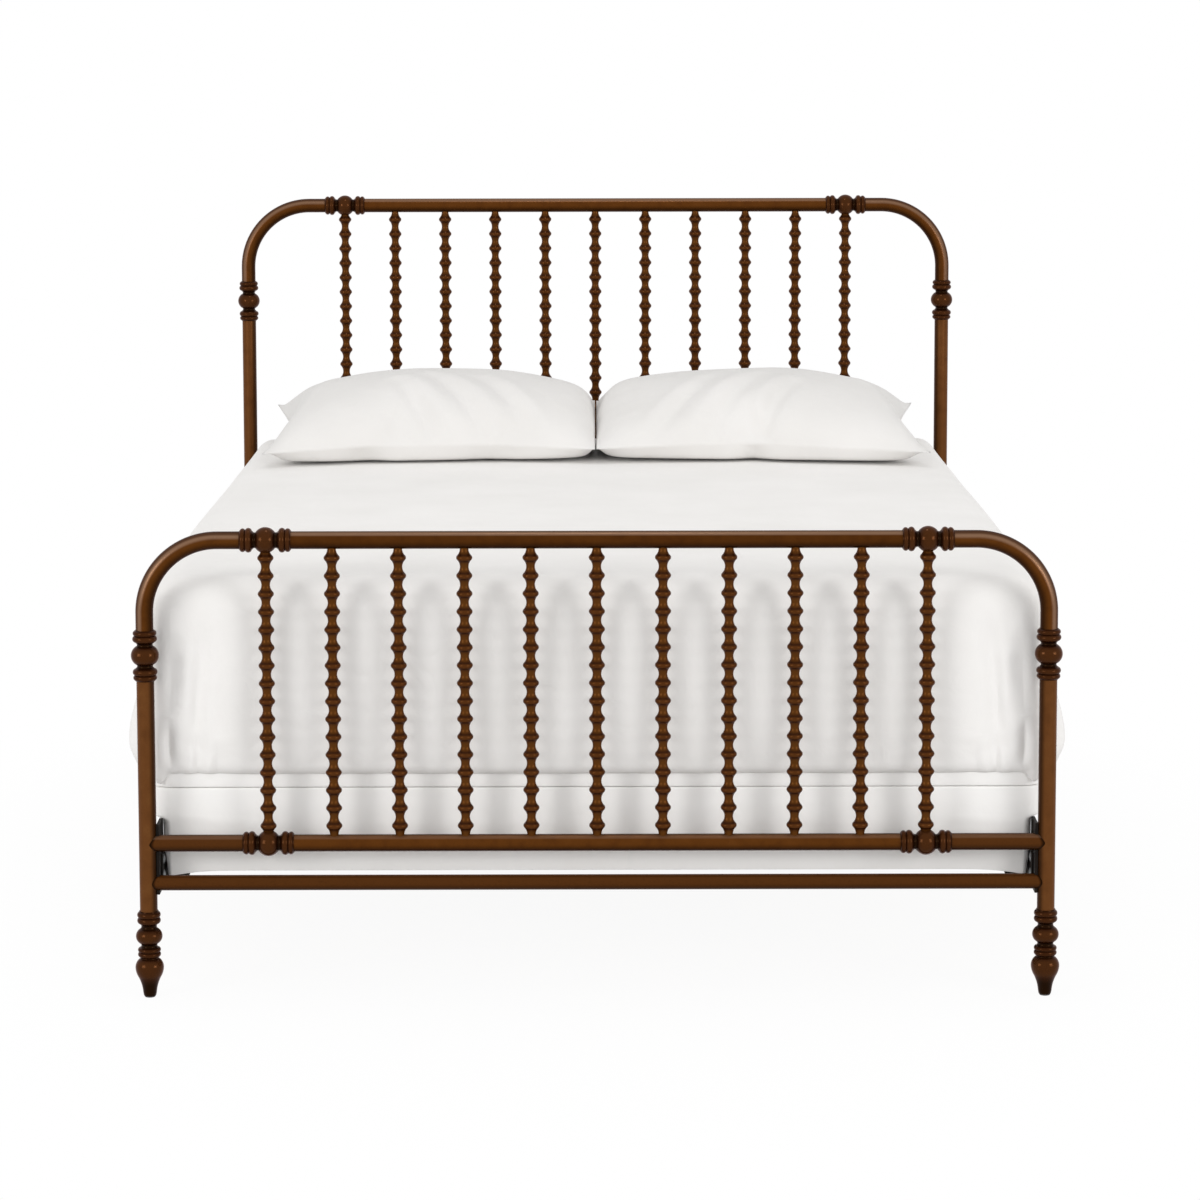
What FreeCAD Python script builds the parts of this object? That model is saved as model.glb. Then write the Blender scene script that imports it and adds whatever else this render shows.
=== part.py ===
import FreeCAD, Part
import math
import os
from dataclasses import dataclass

# Queen-size metal spindle bed, made up with a box spring, a mattress, a duvet and two pillows.
# Millimetres, +Z up. The origin is on the floor, midway between the boards and between the sides.
# The footboard stands at -Y and the headboard at +Y; left and right are as seen from the foot.

Vec = FreeCAD.Vector

# The bed that the frame is made for, and the room left round it
bed_width = 1524.0
bed_length = 2032.0
bed_side_gap = 1.7
bed_head_clearance = 16.5
duvet_foot_clearance = 4.5

# Layout of the two boards
headboard_height = 1264.0
footboard_height = 814.0
bottom_rail_rise = 50.0
lower_rail_spacing = 71.0

# Tubes
main_tube_diameter = 31.0
lower_rail_diameter = 30.0
bottom_rail_diameter = 27.0
tube_wall = 2.0
headboard_bend_radius = 140.0
footboard_bend_radius = 128.0
headboard_bend_straight = 36.0
footboard_bend_straight = 39.5
headboard_bend_drop = 32.0
footboard_bend_drop = 30.0
weld_gap = 0.1
socket_clearance = 0.15

# Turned spindles
spindle_count = 11
headboard_bead_count = 29
footboard_bead_count = 16
bead_radius = 14.2
bead_nose_radius = 5.5
spindle_neck_radius = 7.6
spindle_tenon_length = 6.0

# Cast joints on the rails and cast collars on the posts
casting_half_length = 45.0
joint_ball_radius = 23.0
collar_ball_radius = 24.5
# Each point is a share of the half-length and a share of the tube's radius
ball_edge_shares = (0.375, 0.92)
neck_via_shares = (0.42, 0.89)
neck_end_shares = (0.465, 0.94)
inner_ring_start_shares = (0.52, 1.12)
inner_ring_crest_shares = (0.635, 1.395)
groove_shares = (0.775, 1.175)
outer_ring_crest_shares = (0.885, 1.34)
outer_ring_end_shares = (0.98, 1.13)
rim_shares = (1.0, 1.1)
casting_seat_share = 0.58

# Turned feet
foot_height = 155.0
foot_seat_share = 0.87
# Each point is a share of the foot's height and a share of the post's radius
foot_rim_shares = (1.0, 1.1)
foot_upper_ring_shares = ((0.99, 1.12), (0.948, 1.33), (0.922, 1.168))
foot_second_ring_shares = ((0.884, 1.335), (0.85, 1.04))
foot_upper_neck_shares = ((0.828, 0.89), (0.79, 1.065))
foot_ball_shares = ((0.708, 1.51), (0.626, 1.071))
foot_middle_neck_shares = ((0.599, 0.915), (0.577, 1.03))
foot_third_ring_shares = ((0.548, 1.305), (0.524, 1.161))
foot_fourth_ring_shares = ((0.492, 1.305), (0.465, 1.09))
foot_lower_neck_shares = ((0.457, 1.04), (0.447, 1.1))
foot_bulb_top_shares = ((0.403, 1.48), (0.344, 1.62))
foot_bulb_bottom_shares = ((0.287, 1.525), (0.232, 1.277))
foot_taper_shares = ((0.142, 0.925), (0.055, 0.774))
foot_toe_share = 0.7

# Nylon glides under the feet
glide_height = 3.0
glide_radius = 9.6
glide_edge_radius = 1.5
glide_stem_radius = 4.0
glide_stem_length = 12.0
glide_clearance = 0.15

# Flat steel side rails, the ledges welded inside them and the bracket plates that carry them
rail_thickness = 3.0
rail_upright = 60.0
rail_ledge = 40.0
rail_root_radius = 4.0
rail_toe_radius = 1.4
rail_ledge_notch = 90.0
rail_end_gap = 3.0
bracket_thickness = 5.0
bracket_rise = 19.0
bracket_drop = 6.5
bracket_length = 68.0
bracket_lap = 6.0
bracket_corner_radius = 14.0

# Carriage bolts and hexagon nuts at the brackets
bolt_radius = 4.0
bolt_head_radius = 9.0
bolt_head_height = 2.8
bolt_pitch = 28.0
bolt_edge_distance = 22.0
bolt_tip_length = 3.0
bolt_clearance = 0.2
nut_width = 13.0
hexagon_sides = 6
nut_thickness = 6.5

# Slats and the middle support
slat_count = 5
slat_top_rise = 9.0
slat_thickness = 19.0
slat_width = 89.0
slat_end_margin = 157.0
slat_edge_radius = 3.0
slat_end_clearance = 2.0
support_plate_length = 110.0
support_plate_width = 70.0
support_plate_thickness = 4.0
support_plate_corner_radius = 10.0
support_tube_radius = 14.0
support_tube_wall = 2.0
support_tube_floor_gap = 30.0
support_nut_length = 14.0
leveller_stem_radius = 5.0
leveller_stem_clearance = 0.3
leveller_stem_length = 70.0
leveller_pad_radius = 20.0
leveller_pad_height = 8.0
leveller_hub_radius = 9.0
leveller_edge_radius = 2.0

# Box spring and mattress
box_spring_height = 150.0
mattress_height = 333.0
bedding_corner_radius = 32.0
bedding_edge_radius = 14.0
bedding_tape_radius = 6.0
seat_gap = 0.3

# Duvet
duvet_loft = 45.0
duvet_drop = 355.0
duvet_front_thickness = 26.0
duvet_side_thickness = 28.0
duvet_clearance = 2.0
duvet_head_gap = 40.0
duvet_edge_radius = 45.0
duvet_corner_radius = 55.0
duvet_shoulder_stand = 10.0
duvet_shoulder_flare = 24.0
duvet_shoulder_width = 80.0
duvet_shoulder_drop = 50.0
duvet_bulge = 74.0
duvet_hem_stand = 60.0
duvet_fold_depth = 8.0
duvet_fold_count = 5
duvet_minor_fold_count = 8
duvet_stations_per_fold = 5
duvet_minor_fold_share = 0.6
duvet_round_shares = (0.0, 0.03, 0.12, 0.28, 0.55, 1.0)
duvet_bulge_height_share = 0.28
shoulder_via_share = 0.29

# Pillows
pillow_length = 700.0
pillow_depth = 470.0
pillow_height = 178.0
pillow_gap = 8.0
pillow_headboard_gap = 84.0
pillow_draw = 20.0
pillow_end_thickness = 12.0
pillow_front_seam_height = 44.0
pillow_back_seam_height = 84.0
pillow_station_shares = (-1.0, -0.93, -0.72, -0.36, 0.0, 0.36, 0.72, 0.93, 1.0)
pillow_fullness_shares = (0.0, 0.4, 0.8, 0.97, 1.0, 0.97, 0.8, 0.4, 0.0)
pillow_draw_shares = (0.0, 0.5, 0.9, 1.0, 1.0, 1.0, 0.9, 0.5, 0.0)
pillow_crown_share = 0.54
pillow_sole_shares = (0.22, 0.8)
pillow_haunch_shares = (0.07, 0.94)
pillow_haunch_rise_share = 0.4

# One overrun past the surface serves every cut
overrun = 5.0

quarter_turn_angle = 90.0
full_turn_angle = 360.0
half_share = 0.5
parallel_share = 1e-6

# Places across the bed, from the mattress out to the posts
main_tube_radius = main_tube_diameter / 2
lower_rail_radius = lower_rail_diameter / 2
bottom_rail_radius = bottom_rail_diameter / 2
bed_half_width = bed_width / 2
rail_inner_x = bed_half_width + bed_side_gap + bolt_head_height
bracket_inner_x = rail_inner_x + rail_thickness
bracket_outer_x = bracket_inner_x + bracket_thickness
post_x = bracket_outer_x + main_tube_radius

# Places along the bed, from the footboard to the headboard
bed_foot_gap = collar_ball_radius + duvet_foot_clearance + duvet_front_thickness + duvet_clearance
bed_head_gap = collar_ball_radius + bed_head_clearance
board_spacing = bed_foot_gap + bed_length + bed_head_gap
bed_front = bed_foot_gap - board_spacing / 2
bed_back = bed_front + bed_length

# Heights, from the feet up to the duvet
casting_seat = casting_seat_share * casting_half_length
foot_seat = foot_seat_share * foot_height
bottom_rail_height = foot_height + bottom_rail_rise
lower_rail_height = bottom_rail_height + lower_rail_spacing
slat_top = bottom_rail_height + slat_top_rise
ledge_top = slat_top - slat_thickness
box_spring_bottom = slat_top + seat_gap
mattress_bottom = box_spring_bottom + box_spring_height + seat_gap
mattress_top = mattress_bottom + mattress_height
duvet_top = mattress_top + duvet_loft
duvet_hem = duvet_top - duvet_drop
side_shares = {"left": -1.0, "right": 1.0}


@dataclass(frozen=True)
class Board:
    """One end of the bed: its plane, which way the bed lies from it, and its own sizes."""

    name: str
    plane: float
    inward: float
    height: float
    bead_count: int
    bend_radius: float
    bend_straight: float
    bend_drop: float

    @property
    def joint_x(self):
        """How far the first and last spindles stand from the middle."""
        return post_x - self.bend_radius - self.bend_straight - casting_half_length

    @property
    def spindle_pitch(self):
        """The spindles stand evenly between the two joints."""
        return 2 * self.joint_x / (spindle_count - 1)

    @property
    def collar_height(self):
        """Height of the middle of the collars, under the straight end of the bend."""
        return self.height - self.bend_radius - self.bend_drop - casting_half_length

    @property
    def bead_pitch(self):
        """The beads divide the clear height between the two rails evenly."""
        clear = self.height - main_tube_radius - lower_rail_height - lower_rail_radius
        return clear / self.bead_count

    @property
    def cove_radius(self):
        """Radius of the hollow between beads, tangent to the nose of each bead."""
        step = bead_radius - bead_nose_radius - spindle_neck_radius
        half_pitch = self.bead_pitch / 2
        return (half_pitch**2 + step**2 - bead_nose_radius**2) / (2 * (bead_nose_radius + step))

    def neck_radius_at(self, distance):
        """Radius of a spindle's end hollow at a distance from the rail."""
        rise = self.cove_radius - math.sqrt(self.cove_radius**2 - distance**2)
        return spindle_neck_radius + rise


HEADBOARD = Board(
    name="headboard",
    plane=board_spacing / 2,
    inward=-1.0,
    height=headboard_height,
    bead_count=headboard_bead_count,
    bend_radius=headboard_bend_radius,
    bend_straight=headboard_bend_straight,
    bend_drop=headboard_bend_drop,
)
FOOTBOARD = Board(
    name="footboard",
    plane=-board_spacing / 2,
    inward=1.0,
    height=footboard_height,
    bead_count=footboard_bead_count,
    bend_radius=footboard_bend_radius,
    bend_straight=footboard_bend_straight,
    bend_drop=footboard_bend_drop,
)
BOARDS = (HEADBOARD, FOOTBOARD)


def drawn(start, spans, to_point):
    """Closed wire from a start and spans; a span is (end,) for a line or (via, end) for an arc."""
    edges = []
    here = start
    for span in spans:
        end = span[-1]
        if len(span) == 2:
            edges.append(Part.Arc(to_point(here), to_point(span[0]), to_point(end)).toShape())
        else:
            edges.append(Part.makeLine(to_point(here), to_point(end)))
        here = end
    return Part.Wire(edges)


def turned(start, spans):
    """Solid turned about Z from an outline of (height, radius) points that ends where it starts."""
    wire = drawn(start, spans, lambda point: Vec(point[1], 0, point[0]))
    return Part.Face(wire).revolve(Vec(), Vec(0, 0, 1), full_turn_angle)


def cylinder(start, end, radius):
    """Solid round bar from one point to another."""
    run = end - start
    return Part.makeCylinder(radius, run.Length, start, run)


def tube(start, end, radius):
    """Round tube of the bed's wall thickness from one point to another."""
    return cylinder(start, end, radius).cut(cylinder(start, end, radius - tube_wall))


def edges_along(shape, direction):
    """The straight edges of a shape that run along a direction."""
    found = []
    for edge in shape.Edges:
        run = edge.Vertexes[-1].Point - edge.Vertexes[0].Point
        if run.Length and run.cross(direction).Length <= run.Length * parallel_share:
            found.append(edge)
    return found


def post_bar(board, side):
    """The round outline of a post, with the weld gap, which copes the tubes that meet it."""
    foot = Vec(side * post_x, board.plane, 0)
    head = Vec(side * post_x, board.plane, board.height)
    return cylinder(foot, head, main_tube_radius + weld_gap)


def spindle_places(board):
    """X of each spindle, from the left joint to the right one."""
    return [index * board.spindle_pitch - board.joint_x for index in range(spindle_count)]


def spindle(board, x):
    """A turned spindle: rounded beads with hollows between, and a plain tenon at each end."""
    low = lower_rail_height + lower_rail_radius
    high = board.height - main_tube_radius
    cove = board.cove_radius
    reach = math.asin(board.bead_pitch / 2 / (cove + bead_nose_radius))

    def hollow(height, angle):
        out = spindle_neck_radius + cove - cove * math.cos(angle)
        return (height + cove * math.sin(angle), out)

    start = (low - spindle_tenon_length, 0)
    spans = [((start[0], spindle_neck_radius),), ((low, spindle_neck_radius),)]
    spans.append((hollow(low, reach / 2), hollow(low, reach)))
    for bead in range(board.bead_count):
        below = low + bead * board.bead_pitch
        above = below + board.bead_pitch
        spans.append((((below + above) / 2, bead_radius), hollow(above, -reach)))
        if bead < board.bead_count - 1:
            spans.append(((above, spindle_neck_radius), hollow(above, reach)))
    spans.append((hollow(high, -reach / 2), (high, spindle_neck_radius)))
    tip = high + spindle_tenon_length
    spans += [((tip, spindle_neck_radius),), ((tip, 0),), (start,)]
    return turned(start, spans).translate(Vec(x, board.plane, 0))


def spindles(board):
    """All the spindles of a board."""
    return Part.makeCompound([spindle(board, x) for x in spindle_places(board)])


def drilled(rail, board, height, tube_radius, up):
    """A rail with a hole for the tenon of each spindle that stands on or hangs from it."""
    for x in spindle_places(board)[1:-1]:
        axis = Vec(x, board.plane, height)
        out = axis + Vec(0, 0, up * (tube_radius + overrun))
        rail = rail.cut(cylinder(axis, out, spindle_neck_radius + socket_clearance))
    return rail


def casting(tube_radius, ball_radius):
    """A turned casting about Z: a ball between necks, and two rings and a tube socket at each end."""

    def at(shares, end):
        return (end * shares[0] * casting_half_length, shares[1] * tube_radius)

    lower = [
        (at(outer_ring_end_shares, -1),),
        (at(outer_ring_crest_shares, -1), at(groove_shares, -1)),
        (at(inner_ring_crest_shares, -1), at(inner_ring_start_shares, -1)),
        (at(neck_end_shares, -1),),
        (at(neck_via_shares, -1), at(ball_edge_shares, -1)),
    ]
    ball = [((0, ball_radius), at(ball_edge_shares, 1))]
    upper = [
        (at(neck_via_shares, 1), at(neck_end_shares, 1)),
        (at(inner_ring_start_shares, 1),),
        (at(inner_ring_crest_shares, 1), at(groove_shares, 1)),
        (at(outer_ring_crest_shares, 1), at(outer_ring_end_shares, 1)),
        (at(rim_shares, 1),),
    ]
    start = (-casting_half_length, 0)
    close = [((casting_half_length, 0),), (start,)]
    body = turned(start, [(at(rim_shares, -1),)] + lower + ball + upper + close)
    for end in (-1, 1):
        seat = Vec(0, 0, end * casting_seat)
        mouth = Vec(0, 0, end * (casting_half_length + overrun))
        body = body.cut(cylinder(seat, mouth, tube_radius + socket_clearance))
    return body


def collar(board, side):
    """The cast collar between a post and the bend above it."""
    place = Vec(side * post_x, board.plane, board.collar_height)
    return casting(main_tube_radius, collar_ball_radius).translate(place)


def rail_joint(board, side, height, tube_radius, up):
    """A cast joint on a rail, with a blind socket in its ball for the spindle."""
    body = casting(tube_radius, joint_ball_radius)
    body.rotate(Vec(), Vec(0, 1, 0), quarter_turn_angle)
    axis = Vec(side * board.joint_x, board.plane, height)
    body.translate(axis)
    mouth_radius = board.neck_radius_at(joint_ball_radius - tube_radius) + socket_clearance
    floor = axis + Vec(0, 0, up * (tube_radius - spindle_tenon_length))
    mouth = axis + Vec(0, 0, up * (joint_ball_radius + overrun))
    return body.cut(cylinder(floor, mouth, mouth_radius))


def post(board, side):
    """A straight post from its seat in the foot to its seat in the collar."""
    low = Vec(side * post_x, board.plane, foot_seat)
    high = Vec(side * post_x, board.plane, board.collar_height - casting_seat)
    return tube(low, high, main_tube_radius)


def bend(board, side):
    """The rounded top corner: a tube from the top joint, through the bend, down to the collar."""
    radius = board.bend_radius
    centre = Vec(side * (post_x - radius), board.plane, board.height - radius)
    inner = Vec(side * (board.joint_x + casting_seat), board.plane, board.height)
    crest = centre + Vec(0, 0, radius)
    diagonal = radius * math.sqrt(half_share)
    shoulder = centre + Vec(side * diagonal, 0, diagonal)
    flank = centre + Vec(side * radius, 0, 0)
    low = Vec(side * post_x, board.plane, board.collar_height + casting_seat)
    path = Part.Wire([
        Part.makeLine(inner, crest),
        Part.Arc(crest, shoulder, flank).toShape(),
        Part.makeLine(flank, low),
    ])

    def swept(tube_radius):
        ring = Part.Wire(Part.makeCircle(tube_radius, inner, Vec(side, 0, 0)))
        return path.makePipeShell([ring], True, False)

    return swept(main_tube_radius).cut(swept(main_tube_radius - tube_wall))


def middle_rail(board, height, tube_radius, up):
    """The straight rail between the two joints, drilled for the spindles."""
    reach = board.joint_x - casting_seat
    left = Vec(-reach, board.plane, height)
    right = Vec(reach, board.plane, height)
    return drilled(tube(left, right, tube_radius), board, height, tube_radius, up)


def lower_stub(board, side):
    """The short rail from a lower joint to the post, coped to the post."""
    inner = Vec(side * (board.joint_x + casting_seat), board.plane, lower_rail_height)
    outer = Vec(side * post_x, board.plane, lower_rail_height)
    return tube(inner, outer, lower_rail_radius).cut(post_bar(board, side))


def bottom_rail(board):
    """The slimmer rail near the floor, coped to both posts."""
    left = Vec(-post_x, board.plane, bottom_rail_height)
    right = Vec(post_x, board.plane, bottom_rail_height)
    rail = tube(left, right, bottom_rail_radius)
    for side in side_shares.values():
        rail = rail.cut(post_bar(board, side))
    return rail


def foot(board, side):
    """A turned foot: two rings, a ball, two rings and a vase that tapers to the floor."""

    def at(shares):
        return (shares[0] * foot_height, shares[1] * main_tube_radius)

    toe = (glide_height, foot_toe_share * main_tube_radius)
    start = (foot_height, 0)
    spans = [(at(foot_rim_shares),), (at(foot_upper_ring_shares[0]),)]
    spans.append((at(foot_upper_ring_shares[1]), at(foot_upper_ring_shares[2])))
    for arc_shares in (
        foot_second_ring_shares,
        foot_upper_neck_shares,
        foot_ball_shares,
        foot_middle_neck_shares,
        foot_third_ring_shares,
        foot_fourth_ring_shares,
        foot_lower_neck_shares,
        foot_bulb_top_shares,
        foot_bulb_bottom_shares,
        foot_taper_shares,
    ):
        spans.append((at(arc_shares[0]), at(arc_shares[1])))
    spans += [(toe,), ((glide_height, 0),), (start,)]
    body = turned(start, spans)
    seat = Vec(0, 0, foot_seat)
    mouth = Vec(0, 0, foot_height + overrun)
    body = body.cut(cylinder(seat, mouth, main_tube_radius + socket_clearance))
    stem_top = Vec(0, 0, glide_height + glide_stem_length)
    body = body.cut(cylinder(Vec(), stem_top, glide_stem_radius + glide_clearance))
    return body.translate(Vec(side * post_x, board.plane, 0))


def glide(place):
    """A nylon glide: a disc with a rounded edge and a stem that pushes into the foot."""
    stem_top = glide_height + glide_stem_length
    flat = glide_radius - glide_edge_radius
    nose = glide_edge_radius * (1 - math.sqrt(half_share))
    start = (0, 0)
    spans = [
        ((0, flat),),
        ((nose, glide_radius - nose), (glide_edge_radius, glide_radius)),
        ((glide_height, glide_radius),),
        ((glide_height, glide_stem_radius),),
        ((stem_top, glide_stem_radius),),
        ((stem_top, 0),),
        (start,),
    ]
    return turned(start, spans).translate(place)


def floor_glides():
    """The four glides, one under each post."""
    places = [Vec(side * post_x, board.plane, 0) for board in BOARDS for side in side_shares.values()]
    return Part.makeCompound([glide(place) for place in places])


def bolt_places(board):
    """Y and Z of the two bolts at each of a board's brackets."""
    y = board.plane + board.inward * (bracket_length - bracket_lap - bolt_edge_distance)
    middle = ledge_top + rail_upright / 2
    return [(y, middle + end * bolt_pitch / 2) for end in (-1, 1)]


def bolt_holes(side):
    """Bars through a side rail and its brackets where the bolts go."""
    inner = side * (rail_inner_x - overrun)
    outer = side * (bracket_outer_x + overrun)
    radius = bolt_radius + bolt_clearance
    places = [place for board in BOARDS for place in bolt_places(board)]
    return [cylinder(Vec(inner, y, z), Vec(outer, y, z), radius) for y, z in places]


def rail_ends():
    """Where the side rails start and stop along the bed, clear of the lower rails."""
    gap = lower_rail_radius + rail_end_gap
    return FOOTBOARD.plane + gap, HEADBOARD.plane - gap


def side_rail(side):
    """A flat bar on edge, its inner top edge rounded, with holes for the bolts."""
    bottom = ledge_top - rail_thickness
    top = bottom + rail_upright
    outer = bracket_inner_x
    toe = rail_toe_radius
    cut = toe * (1 - math.sqrt(half_share))
    start = (outer, bottom)
    spans = [
        ((outer, top),),
        ((rail_inner_x + toe, top),),
        ((rail_inner_x + cut, top - cut), (rail_inner_x, top - toe)),
        ((rail_inner_x, bottom),),
        (start,),
    ]
    low, high = rail_ends()
    wire = drawn(start, spans, lambda point: Vec(side * point[0], low, point[1]))
    rail = Part.Face(wire).extrude(Vec(0, high - low, 0))
    for hole in bolt_holes(side):
        rail = rail.cut(hole)
    return rail


def ledge_bar(side):
    """The ledge for the slats, with the weld that joins it to the rail; it stops short of the boards."""
    top = ledge_top
    bottom = top - rail_thickness
    back = rail_inner_x - weld_gap
    tip = bracket_inner_x - rail_ledge
    toe = rail_toe_radius
    root = rail_root_radius
    cut = 1 - math.sqrt(half_share)
    start = (back, bottom)
    spans = [
        ((back, top + root),),
        ((back - root * cut, top + root * cut), (back - root, top)),
        ((tip + toe, top),),
        ((tip + toe * cut, top - toe * cut), (tip, top - toe)),
        ((tip, bottom),),
        (start,),
    ]
    rail_low, rail_high = rail_ends()
    low = rail_low + rail_ledge_notch
    length = rail_high - rail_ledge_notch - low
    wire = drawn(start, spans, lambda point: Vec(side * point[0], low, point[1]))
    return Part.Face(wire).extrude(Vec(0, length, 0))


def rail_bracket(board, side):
    """A plate welded beside the post and notched round both rails, which the side rail bolts to."""
    bottom = bottom_rail_height - bottom_rail_radius - bracket_drop
    near = board.plane - board.inward * bracket_lap
    far = near + board.inward * bracket_length
    inner = side * bracket_inner_x
    outer = side * bracket_outer_x
    corner = Vec(min(inner, outer), min(near, far), bottom)
    height = lower_rail_height + lower_rail_radius + bracket_rise - bottom
    plate = Part.makeBox(bracket_thickness, bracket_length, height, corner)
    middle = plate.CenterOfMass.y
    across = edges_along(plate, Vec(1, 0, 0))
    free = [edge for edge in across if board.inward * (edge.CenterOfMass.y - middle) > 0]
    plate = plate.makeFillet(bracket_corner_radius, free)
    plate = plate.cut(post_bar(board, side))
    for height, radius in (
        (lower_rail_height, lower_rail_radius),
        (bottom_rail_height, bottom_rail_radius),
    ):
        left = Vec(-post_x, board.plane, height)
        right = Vec(post_x, board.plane, height)
        plate = plate.cut(cylinder(left, right, radius + weld_gap))
    for hole in bolt_holes(side):
        plate = plate.cut(hole)
    return plate


def rail_bolts():
    """Carriage bolts with low domed heads on the inside of the side rails."""
    grip = rail_thickness + bracket_thickness
    length = grip + nut_thickness + bolt_tip_length
    start = (-bolt_head_height, 0)
    dome = (-bolt_head_height * math.sqrt(half_share), bolt_head_radius * half_share)
    spans = [
        (dome, (0, bolt_head_radius)),
        ((0, bolt_radius),),
        ((length, bolt_radius),),
        ((length, 0),),
        (start,),
    ]
    bolts = []
    for side in side_shares.values():
        for board in BOARDS:
            for y, z in bolt_places(board):
                bolt = turned(start, spans)
                bolt.rotate(Vec(), Vec(0, 1, 0), side * quarter_turn_angle)
                bolts.append(bolt.translate(Vec(side * rail_inner_x, y, z)))
    return Part.makeCompound(bolts)


def rail_nuts():
    """Hexagon nuts on the outside of the brackets."""
    corner_radius = nut_width / 2 / math.cos(math.pi / hexagon_sides)
    nuts = []
    for side in side_shares.values():
        for board in BOARDS:
            for y, z in bolt_places(board):
                corners = []
                for index in range(hexagon_sides + 1):
                    angle = math.radians(index * full_turn_angle / hexagon_sides)
                    across = corner_radius * math.cos(angle)
                    up = corner_radius * math.sin(angle)
                    corners.append(Vec(side * bracket_outer_x, y + across, z + up))
                seat = Vec(side * bracket_outer_x, y, z)
                depth = Vec(side * nut_thickness, 0, 0)
                body = Part.Face(Part.makePolygon(corners)).extrude(depth)
                bore = cylinder(seat - depth, seat + depth * 2, bolt_radius + bolt_clearance)
                nuts.append(body.cut(bore))
    return Part.makeCompound(nuts)


def slat_y(index):
    """Y of a slat's middle line; the slats stand evenly along the ledges."""
    ledge_end = board_spacing / 2 - lower_rail_radius - rail_end_gap - rail_ledge_notch
    reach = ledge_end - slat_end_margin
    return reach * (2 * index / (slat_count - 1) - 1)


def slat(index):
    """A wooden slat with rounded long edges, resting on both ledges."""
    reach = rail_inner_x - weld_gap - rail_root_radius - slat_end_clearance
    corner = Vec(-reach, slat_y(index) - slat_width / 2, ledge_top)
    board = Part.makeBox(2 * reach, slat_width, slat_thickness, corner)
    return board.makeFillet(slat_edge_radius, edges_along(board, Vec(1, 0, 0)))


def support_plate():
    """The steel plate under the middle slat that the support leg is welded to."""
    top = ledge_top
    corner = Vec(-support_plate_length / 2, -support_plate_width / 2, top - support_plate_thickness)
    plate = Part.makeBox(support_plate_length, support_plate_width, support_plate_thickness, corner)
    return plate.makeFillet(support_plate_corner_radius, edges_along(plate, Vec(0, 0, 1)))


def support_leg():
    """The tube of the middle support, with a threaded insert's bore at its lower end."""
    top = Vec(0, 0, ledge_top - support_plate_thickness)
    low = Vec(0, 0, support_tube_floor_gap)
    insert_top = Vec(0, 0, support_tube_floor_gap + support_nut_length)
    leg = cylinder(low, top, support_tube_radius)
    leg = leg.cut(cylinder(insert_top, top, support_tube_radius - support_tube_wall))
    bore_start = low - Vec(0, 0, overrun)
    return leg.cut(cylinder(bore_start, insert_top, leveller_stem_radius + leveller_stem_clearance))


def support_foot():
    """The levelling foot of the middle support: a round pad, a hub and a stem up the leg."""
    edge = leveller_edge_radius
    cut = edge * (1 - math.sqrt(half_share))
    start = (0, 0)
    hub_bottom = leveller_pad_height * half_share
    spans = [
        ((0, leveller_pad_radius - edge),),
        ((cut, leveller_pad_radius - cut), (edge, leveller_pad_radius)),
        ((hub_bottom, leveller_pad_radius),),
        ((leveller_pad_height, leveller_hub_radius),),
        ((leveller_pad_height + edge, leveller_hub_radius),),
        ((leveller_pad_height + edge, leveller_stem_radius),),
        ((leveller_stem_length, leveller_stem_radius),),
        ((leveller_stem_length, 0),),
        (start,),
    ]
    return turned(start, spans)


def rounded_outline(half_width, front, back, radius, height):
    """Wire of a rectangle with rounded corners at a height."""
    cut = radius * (1 - math.sqrt(half_share))
    left = -half_width
    right = half_width
    start = (left + radius, front)
    spans = [
        ((right - radius, front),),
        ((right - cut, front + cut), (right, front + radius)),
        ((right, back - radius),),
        ((right - cut, back - cut), (right - radius, back)),
        ((left + radius, back),),
        ((left + cut, back - cut), (left, back - radius)),
        ((left, front + radius),),
        ((left + cut, front + cut), start),
    ]
    return drawn(start, spans, lambda point: Vec(point[0], point[1], height))


def bedding_outline(inset, height):
    """Wire round the bed at a height, inset from its sides."""
    half_width = bed_half_width - inset
    return rounded_outline(half_width, bed_front + inset, bed_back - inset, bedding_corner_radius, height)


def upholstered_block(inset, bottom, height):
    """A block with rounded corners and edges."""
    block = Part.Face(bedding_outline(inset, bottom)).extrude(Vec(0, 0, height))
    rims = [edge for edge in block.Edges if edge.BoundBox.ZLength < bedding_edge_radius]
    return block.makeFillet(bedding_edge_radius, rims)


def box_spring():
    """The covered box spring, on the slats."""
    return upholstered_block(0, box_spring_bottom, box_spring_height)


def mattress():
    """The mattress, on the box spring, with a tape edge round its top."""
    inset = bedding_tape_radius
    path = bedding_outline(inset, mattress_top - bedding_edge_radius)
    ring = Part.makeCircle(bedding_tape_radius, path.Vertexes[0].Point, Vec(1, 0, 0))
    tape = path.makePipeShell([Part.Wire(ring)], True, False)
    return upholstered_block(inset, mattress_bottom, mattress_height).fuse(tape)


def round_in(radius, share):
    """How far a quarter round of a radius falls back at a share of its run."""
    return radius * (1 - math.sqrt(1 - (1 - share) ** 2))


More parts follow.
